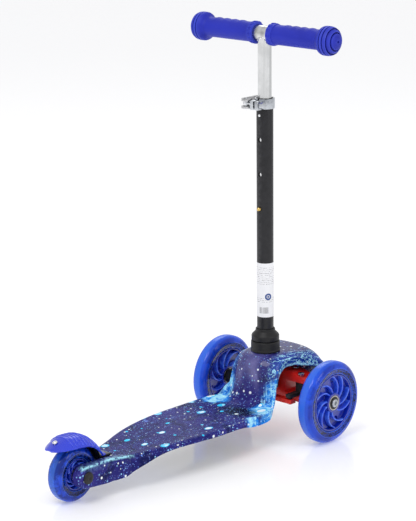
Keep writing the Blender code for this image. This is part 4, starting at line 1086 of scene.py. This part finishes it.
hardware = {
    "cap": [(0, 2.5), (2.2, 2.5), (2.6, 3.0), (5.5, 2.9), (7.8, 2.2), (8.5, 1.0), (8.5, 0.0), (0, 0.0)],
    "springTurns": 4.0, "springInset": 0.8, "edge": 0.25,
}


def buildFrontBolt(side, name, node):
    centre = middle(node)
    low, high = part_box(node)
    end = high.y if side > 0 else low.y
    start = low.y if side > 0 else high.y
    reach = abs(end - start) / mm
    line = [(0, 0), (3.9, 0), (3.9, reach - 2.6), (6.2, reach - 2.6), (6.2, reach - 0.8), (5.3, reach),
            (3.1, reach),
            (2.7, reach - 0.3), (2.7, reach - 2.2), (0, reach - 2.2)]
    mesh = meshFrom(name, lathe(rounded(line, 0.35, 3), 48),
                    turnTo((centre.x, start, centre.z), (0, side, 0)))
    pieceFrom(name, mesh, "zinc_steel", bodyOfNode[node], [node])


def buildAxleCap(side, name, node):
    low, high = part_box(node)
    centre = middle(node)
    inner = low.y if side > 0 else high.y
    line = rounded(hardware["cap"], 0.4)
    mesh = meshFrom(name, lathe(line, 64), turnTo((centre.x, inner, centre.z), (0, side, 0)))
    pieceFrom(name, mesh, "black_plastic", bodyOfNode[node], [node])


buildFrontBolt(1, "frontBoltLeft", "front_axle_bolt_left")
buildFrontBolt(-1, "frontBoltRight", "front_axle_bolt_right")
buildAxleCap(1, "axleCapLeft", "axle_cap_left")
buildAxleCap(-1, "axleCapRight", "axle_cap_right")
refined("axleBeam", "axle_beam", "red_nylon", 1.2)
refined("tieRod", "tie_rod", "red_nylon", 0.8)
refined("stemSocket", "stem_socket", "black_plastic", 0.6)
for label in ("Left", "Right"):
    refined(f"knuckle{label}", f"knuckle_{label.lower()}", "black_plastic", 0.5)
    refined(f"kingpin{label}", f"kingpin_{label.lower()}", "zinc_steel", 0.3)
    springNode = f"lean_spring_{label.lower()}"
    springLow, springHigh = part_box(springNode)
    centre, inset = middle(springNode), hardware["springInset"] * mm
    sizes = {"Turns": hardware["springTurns"], "Height": springHigh.z - springLow.z - inset * 2}
    foot = Matrix.Translation((centre.x, centre.y, springLow.z + inset))
    coil = coilSpring.grow(f"leanSpring{label}", sizes, None, foot)
    coilPiece = pieceFrom(f"leanSpring{label}", coil, "zinc_steel", bodyOfNode[springNode], [springNode])
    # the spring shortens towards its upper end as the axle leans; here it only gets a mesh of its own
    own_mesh(coilPiece)
for name, node, slot in (("leanBolt", "lean_pivot_bolt", "zinc_steel"),
                         ("leanNut", "lean_pivot_nut", "zinc_steel"),
                         ("steeringPin", "steering_pin", "zinc_steel"),
                         ("rearAxle", "rear_axle", "zinc_steel"),
                         ("brakePin", "brake_pin", "zinc_steel"), ("leverPin", "lever_pin", "zinc_steel"),
                         ("clampNut", "clamp_nut", "zinc_steel"), ("clampBolt", "clamp_bolt", "zinc_steel"),
                         ("guideBushing", "guide_bushing", "black_plastic")):
    refined(name, node, slot, hardware["edge"])
# the leaf spring closes towards its front leg as the button goes in; here it only gets a mesh of its own
leafSpring = refined("snapSpring", "snap_spring", "zinc_steel", hardware["edge"])
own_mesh(leafSpring)
print("axle hardware made")


# rear brake

brake = {
    "cover": [(-169, 59.4, 16, 2.5), (-174, 63.5, 18, 7), (-179.5, 70.5, 21, 9), (-186, 77.5, 23, 10),
              (-197, 86.5, 24.5, 11), (-212, 92, 25, 12), (-229, 93, 24, 12), (-243, 88.5, 19, 8),
              (-254, 84, 12, 4),
              (-260, 82, 6, 1.5)],
    "power": 2.4, "wall": 2.6, "ribs": [-186, -190.5, -195.5, -201, -206.5, -212, -217.5, -223, -228.5, -234],
    "ribRadius": 0.9, "ribReach": 0.93, "screwX": -247.0, "screwTilt": -17, "acrossSteps": 40,
    "screw": [(0, 1.4), (1.2, 1.4), (1.5, 2.0), (2.4, 1.9), (3.6, 0.7), (3.6, 0.0), (1.6, 0.0), (1.6, -9),
              (0, -9)],
}


def coverAt(x):
    # height, half width and drop of the cover's section at x
    table = brake["cover"][::-1]
    return [along([(row[0], row[column]) for row in table], x) for column in (1, 2, 3)]


def buildCover():
    work = bmesh.new()
    rows = []
    count = brake["acrossSteps"]
    stations = finerStations([row[0] for row in reversed(brake["cover"])], 2.0)
    for x in stations:
        z, half, drop = coverAt(x)
        row = []
        for i in range(count + 1):
            across = -1 + i * 2 / count
            row.append(work.verts.new((x, half * across, z - drop * abs(across) ** brake["power"])))
        rows.append(row)
    for here, ahead in zip(rows, rows[1:]):
        for i in range(count):
            work.faces.new((here[i], here[i + 1], ahead[i + 1], ahead[i]))
    skin = meshFrom("coverSkin", work)
    if sum(face.normal.z for face in skin.polygons) < 0:
        skin.flip_normals()
    bore = helper(meshFrom("bore", lathe([(0, 14), (2.7, 14), (2.7, -14), (0, -14)], 24),
                           turnTo((brake["screwX"] * mm, 0, 0.085), (0, 0, 1))))
    mesh = finished(skin, ("SOLIDIFY", dict(thickness=brake["wall"] * mm, offset=-1.0)),
                    ("BOOLEAN", dict(object=bore, operation="DIFFERENCE", solver="EXACT")),
                    bevelStep(0.7, 3, 50))
    pieceFrom("brakeCover", mesh, "blue_cover", "brake", ["brake_cover"])


def buildCoverRibs():
    spots = bpy.data.meshes.new("ribSpots")
    spots.from_pydata([(x * mm, 0, (coverAt(x)[0] - 0.1) * mm) for x in brake["ribs"]], [], [])
    reach = brake["ribReach"]
    sizes = []
    for x in brake["ribs"]:
        _, half, drop = coverAt(x)
        sizes += [1.0, half * reach * mm, drop * reach ** brake["power"] * mm]
    spots.attributes.new("ribSize", "FLOAT_VECTOR", "POINT").data.foreach_set("vector", sizes)
    mesh = crownRibs.grow("coverRibs", {"Radius": brake["ribRadius"] * mm, "Power": brake["power"]}, spots)
    pieceFrom("coverRibs", mesh, "blue_cover", "brake")


def buildBrakeScrew():
    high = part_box("brake_screw")[1]
    tilt = math.radians(brake["screwTilt"])
    direction = Vector((math.sin(tilt), 0, math.cos(tilt)))
    line = rounded(brake["screw"], 0.3)
    top = Vector((brake["screwX"] * mm, 0, high.z - 2.2 * mm))
    mesh = meshFrom("brakeScrew", lathe(line, 48), turnTo(top, direction))
    pieceFrom("brakeScrew", mesh, "alloy", "brake", ["brake_screw"], "bright")


buildCover()
buildCoverRibs()
buildBrakeScrew()
refined("brakeShoe", "brake_shoe", "black_plastic", 1.0, "shoe")
print("rear brake made")


# stem and handlebar

stem = {
    "outer": 12.0, "bore": 10.9, "low": 88.5, "top": 491.5, "holes": (334, 384, 434), "holeRadius": 3.25,
    "pegZ": 469,
    "pegRadius": 1.7, "inner": 9.8, "innerBore": 8.4, "innerLow": 180.0, "barZ": 584.0, "barRadius": 11.0,
    "barHalf": 122.0, "barWall": 1.6, "labelLow": 174.5, "labelHigh": 254.5, "labelOpen": 35.0,
    "labelSteps": 72,
    "peg": [(0, 11.1), (1.62, 11.1), (1.62, 12.0), (2.1, 12.05), (1.7, 12.6), (0, 12.9)],
    "button": [(0, 16.4), (1.5, 16.1), (2.5, 15.2), (2.9, 13.8), (2.9, 6.4), (0, 6.4)],
    "collarLower": [(12.4, 137.7), (20, 137.7), (20.9, 136.5), (20.9, 126), (21.5, 124.5), (21.5, 122.8),
                    (20.6, 122.3), (12.4, 122.3)],
    "collarUpper": [(12.4, 156), (13.6, 156), (14.2, 155), (14.2, 152.4), (15.4, 151), (19.3, 147),
                    (20.1, 145.4), (20.1, 139), (19, 138.1), (12.4, 138.1)],
}


def onStem(name, work):
    return meshFrom(name, work, stemMatrix)


def buildOuterTube():
    line = rounded([(stem["outer"], stem["top"]), (stem["outer"], stem["low"]), (stem["bore"], stem["low"]),
                    (stem["bore"], stem["top"])], 0.3, 2, True)
    tube = onStem("outerTube", lathe(line, 96, True))
    steps = []
    for z, radius in [(z, stem["holeRadius"]) for z in stem["holes"]] + [(stem["pegZ"], stem["pegRadius"])]:
        spot = stemMatrix @ turnTo((-0.0125, 0, z * mm), (1, 0, 0))
        bore = helper(meshFrom("tubeHole", lathe([(0, 8), (radius, 8), (radius, -8), (0, -8)], 28), spot))
        steps.append(("BOOLEAN", dict(object=bore, operation="DIFFERENCE", solver="EXACT")))
    pieceFrom("outerTube", finished(tube, *steps), "tube_coat", bodyOfNode["outer_tube"], ["outer_tube"])
    peg = rounded(stem["peg"], 0.25)
    laid = stemMatrix @ turnTo((0, 0, stem["pegZ"] * mm), (-1, 0, 0))
    pieceFrom("tubePeg", meshFrom("tubePeg", lathe(peg, 32), laid), "alloy", bodyOfNode["outer_tube"], (),
              "bright")


def buildCollars():
    for name, node in (("collarLower", "collar_lower"), ("collarUpper", "collar_upper")):
        mesh = onStem(name, lathe(rounded(stem[name], 0.5, 3, True), 96, True))
        pieceFrom(name, mesh, "black_plastic", bodyOfNode[node], [node])


def buildLabel():
    # a strip of paper with its own map: across from 0 to 1 and up from 0 to 1
    work = bmesh.new()
    uv = work.loops.layers.uv.new("UVMap")
    steps, inner, outer = stem["labelSteps"], stem["outer"] + 0.1, stem["outer"] + 0.32
    rings = []
    for i in range(steps + 1):
        angle = math.radians(stem["labelOpen"] + (360 - 2 * stem["labelOpen"]) * i / steps)
        rings.append([work.verts.new((r * math.cos(angle), r * math.sin(angle), z))
                      for r, z in ((outer, stem["labelLow"]), (outer, stem["labelHigh"]),
                                   (inner, stem["labelHigh"]), (inner, stem["labelLow"]))])
    for i in range(steps):
        for k in range(4):
            m = (k + 1) % 4
            face = work.faces.new((rings[i][k], rings[i + 1][k], rings[i + 1][m], rings[i][m]))
            ups = {0: 0.0, 1: 1.0, 2: 1.0, 3: 0.0}
            for loop, (step, corner) in zip(face.loops, ((i, k), (i + 1, k), (i + 1, m), (i, m))):
                loop[uv].uv = (1 - step / steps, ups[corner])
    work.faces.new(rings[0][::-1])
    work.faces.new(rings[-1])
    pieceFrom("stemLabel", onStem("stemLabel", work), "label_paper", bodyOfNode["stem_label"], ["stem_label"])


def buildInnerTube():
    # its top follows the underside of the crossbar, with a weld bead along the joint
    line = rounded([(stem["inner"], stem["barZ"]), (stem["inner"], stem["innerLow"]),
                    (stem["innerBore"], stem["innerLow"]), (stem["innerBore"], stem["barZ"])], 0.3, 1, True)
    reach = stem["barRadius"] + 0.25

    def saddle(angle, r, h):
        return (r, stem["barZ"] - math.sqrt(reach**2 - (r * math.cos(angle)) ** 2)) if h > 500 else (r, h)

    tube = onStem("innerTube", lathe(line, 96, True, saddle))
    hole = helper(meshFrom("pinHole", lathe([(0, 9), (3.2, 9), (3.2, -9), (0, -9)], 28),
                           stemMatrix @ turnTo((-0.0115, 0, stem["holes"][0] * mm), (1, 0, 0))))
    tube = finished(tube, ("BOOLEAN", dict(object=hole, operation="DIFFERENCE", solver="EXACT")))
    pieceFrom("innerTube", tube, "alloy", "t_bar", ["inner_tube"])
    work = bmesh.new()
    random.seed(4)
    rings, turns, sides = [], 96, 8
    for i in range(turns):
        angle = 2 * math.pi * i / turns
        r = stem["inner"] + 0.1
        centre = Vector((r * math.cos(angle), r * math.sin(angle),
                         stem["barZ"] - math.sqrt(reach**2 - (r * math.cos(angle)) ** 2)))
        out = Vector((math.cos(angle), math.sin(angle), 0))
        size = 0.95 + 0.18 * math.sin(angle * 24) + 0.05 * random.random()
        up = Vector((0, 0, 1))
        angles = [2 * math.pi * k / sides for k in range(sides)]
        rings.append([work.verts.new(centre + out * size * math.cos(a) + up * size * math.sin(a))
                      for a in angles])
    for i in range(turns):
        here, ahead = rings[i], rings[(i + 1) % turns]
        for k in range(sides):
            m = (k + 1) % sides
            work.faces.new((here[k], ahead[k], ahead[m], here[m]))
    pieceFrom("barWeld", onStem("barWeld", work), "alloy", "t_bar", (), "cast_alloy")


def buildCrossbar():
    outer, half = stem["barRadius"], stem["barHalf"]
    inner = outer - stem["barWall"]
    line = rounded([(outer, half), (outer, -half), (inner, -half), (inner, half)], 0.3, 2, True)
    laid = stemMatrix @ turnTo((0, 0, stem["barZ"] * mm), (0, 1, 0))
    pieceFrom("crossbar", meshFrom("crossbar", lathe(line, 96, True), laid), "alloy", "t_bar", ["crossbar"])


grip = {
    # from the bar's end inwards: distance from the middle, and radius
    "line": [(129.2, 0.0), (129.2, 1.2), (130.8, 1.8), (131, 2.4), (130.3, 6.5), (129.3, 9.6), (128.4, 11.2),
             (127.2, 11.5), (125.0, 11.6), (124.9, 12.9), (126.7, 13.4), (125.6, 15.0), (124.3, 16.4),
             (123.2, 16.8),
             (120.8, 16.9), (120.7, 18.1), (122.3, 18.5), (120.6, 19.3), (118.8, 20.0), (117.8, 20.0),
             (117.6, 18.9),
             (116.4, 18.9), (116.2, 20.4), (112.8, 20.5), (112.6, 19.3), (111.5, 19.3), (111.3, 20.5),
             (108.6, 20.3),
             (107.8, 20.1), (105.8, 19.2), (103.6, 16.2), (101.4, 14.6), (99, 14.1), (24.5, 14.0), (23, 14.1),
             (22.4, 15.0), (20.6, 15.2), (13.4, 15.2), (13, 14.8), (13, 11.4), (121, 11.4), (121, 0.0)],
    "bumps": 4, "bumpHeight": 1.2, "bumpFrom": 34.0, "bumpTo": 92.0, "teeth": 12, "teethRing": 15.1,
    "teethAt": 16.4, "toothLong": 5.6, "toothWide": 4.4, "toothDeep": 2.0,
}


def buildGrip(side, name, node):
    laid = stemMatrix @ turnTo((0, 0, stem["barZ"] * mm), (0, side, 0))
    up = laid.to_3x3().inverted() @ Vector((0.5, 0, 0.87))

    def fingers(angle, r, h):
        # soft swellings under the fingers, on the top and the front of the bar only
        if not grip["bumpFrom"] < h < grip["bumpTo"] or r < 13:
            return r, h
        share = (h - grip["bumpFrom"]) / (grip["bumpTo"] - grip["bumpFrom"])
        facing = max(0.0, math.cos(angle) * up.x + math.sin(angle) * up.y) ** 1.5
        return r + facing * grip["bumpHeight"] * math.sin(share * math.pi * grip["bumps"]) ** 2, h

    line = []
    for (h0, r0), (h1, r1) in zip(grip["line"], grip["line"][1:]):
        count = 24 if abs(h1 - h0) > 60 and r0 > 13 else 1
        line += [(r0 + (r1 - r0) * i / count, h0 + (h1 - h0) * i / count) for i in range(count)]
    line.append((0.0, 121))
    mesh = meshFrom(name, lathe(line, 96, False, fingers), laid)
    pieceFrom(name, mesh, "blue_rubber", "t_bar", [node], None, 30)
    sizes = {"Count": grip["teeth"], "Radius": grip["teethRing"] * mm, "Long": grip["toothLong"] * mm,
             "Wide": grip["toothWide"] * mm, "Deep": grip["toothDeep"] * mm}
    ring = laid @ Matrix.Translation((0, 0, grip["teethAt"] * mm))
    teeth = gripTeeth.grow(name + "Teeth", sizes, None, ring)
    pieceFrom(name + "Teeth", teeth, "blue_rubber", "t_bar")


def buildButton():
    line = rounded(stem["button"], 0.3)
    laid = stemMatrix @ turnTo((0, 0, stem["holes"][0] * mm), (-1, 0, 0))
    pieceFrom("snapButton", meshFrom("snapButton", lathe(line, 40), laid), "brass", "button", ["snap_button"])


buildOuterTube()
buildCollars()
buildLabel()
buildInnerTube()
buildCrossbar()
buildGrip(1, "gripLeft", "grip_left")
buildGrip(-1, "gripRight", "grip_right")
buildButton()
refined("clampRing", "clamp_ring", "alloy", 0.7, "zinc_steel")
refined("clampLever", "clamp_lever", "alloy", 0.9, "cast_alloy")
for made in helpers:
    bpy.data.objects.remove(made)
print("stem and handlebar made")


# floor, light and camera

studio = {
    "floorSize": 60.0, "azimuth": -48.35, "elevation": 13.95, "distance": 2.842, "lens": 146.43,
    "roll": 0.145,
    "aim": (-0.0225, -0.0671, 0.0016),   # from the middle of the object's box
    "lights": [  # size, power, place, aim
        (1.6, 26.0, (-1.6, -0.4, 2.6), (0, 0, 0.2)),
        (1.2, 8.0, (0.6, -2.4, 1.5), (0, 0, 0.2)),
        (1.4, 8.0, (1.8, 1.6, 2.2), (0, 0, 0.3)),
    ],
    "sky": 0.76, "skyColor": color(0.985, 0.985, 1.0), "floorGlow": 0.21,
    "floorColor": color(0.93, 0.93, 0.935),
}


def buildStudio():
    work = bmesh.new()
    reach = studio["floorSize"] / 2
    work.faces.new([work.verts.new((x * reach, y * reach, 0)) for x,
                    y in ((-1, -1), (1, -1), (1, 1), (-1, 1))])
    mesh = bpy.data.meshes.new("floor")
    work.to_mesh(mesh)
    work.free()
    look = Look("paleFloor", Base_Color=studio["floorColor"], Specular_IOR_Level=0.5,
                Emission_Color=color(1.0, 1.0, 1.0), Emission_Strength=studio["floorGlow"])
    mesh.materials.append(look.wear(Roughness=look.noise(3.0, 2.0) * 0.06 + 0.10))
    floor = bpy.data.objects.new("floor", mesh)
    bpy.context.scene.collection.objects.link(floor)
    world = bpy.data.worlds.new("studio")
    bpy.context.scene.world = world
    world.use_nodes = True
    sky = world.node_tree.nodes["Background"]
    sky.inputs["Color"].default_value = studio["skyColor"]
    sky.inputs["Strength"].default_value = studio["sky"]
    for number, (size, power, place, aim) in enumerate(studio["lights"]):
        data = bpy.data.lights.new(f"softBox{number}", "AREA")
        data.shape, data.size, data.energy = "DISK", size, power
        light = bpy.data.objects.new(data.name, data)
        light.location = place
        light.rotation_euler = (Vector(aim) - Vector(place)).to_track_quat("-Z", "Y").to_euler()
        bpy.context.scene.collection.objects.link(light)


def buildCamera():
    low, high = cadBounds
    target = (low + high) / 2 + Vector(studio["aim"])
    azimuth, elevation = math.radians(studio["azimuth"]), math.radians(studio["elevation"])
    back = Vector((math.sin(azimuth) * math.cos(elevation), -math.cos(azimuth) * math.cos(elevation),
                   math.sin(elevation)))
    data = bpy.data.cameras.new("camera")
    data.lens, data.sensor_width = studio["lens"], 36.0
    camera = bpy.data.objects.new("camera", data)
    camera.location = target + back * studio["distance"]
    roll = Matrix.Rotation(math.radians(studio["roll"]), 4, "Z")
    turn = (-back).to_track_quat("-Z", "Y").to_matrix().to_4x4() @ roll
    camera.rotation_euler = turn.to_euler()
    bpy.context.scene.collection.objects.link(camera)
    bpy.context.scene.camera = camera


buildStudio()
buildCamera()
bpy.context.scene.view_settings.view_transform = "Standard"
print("studio made")
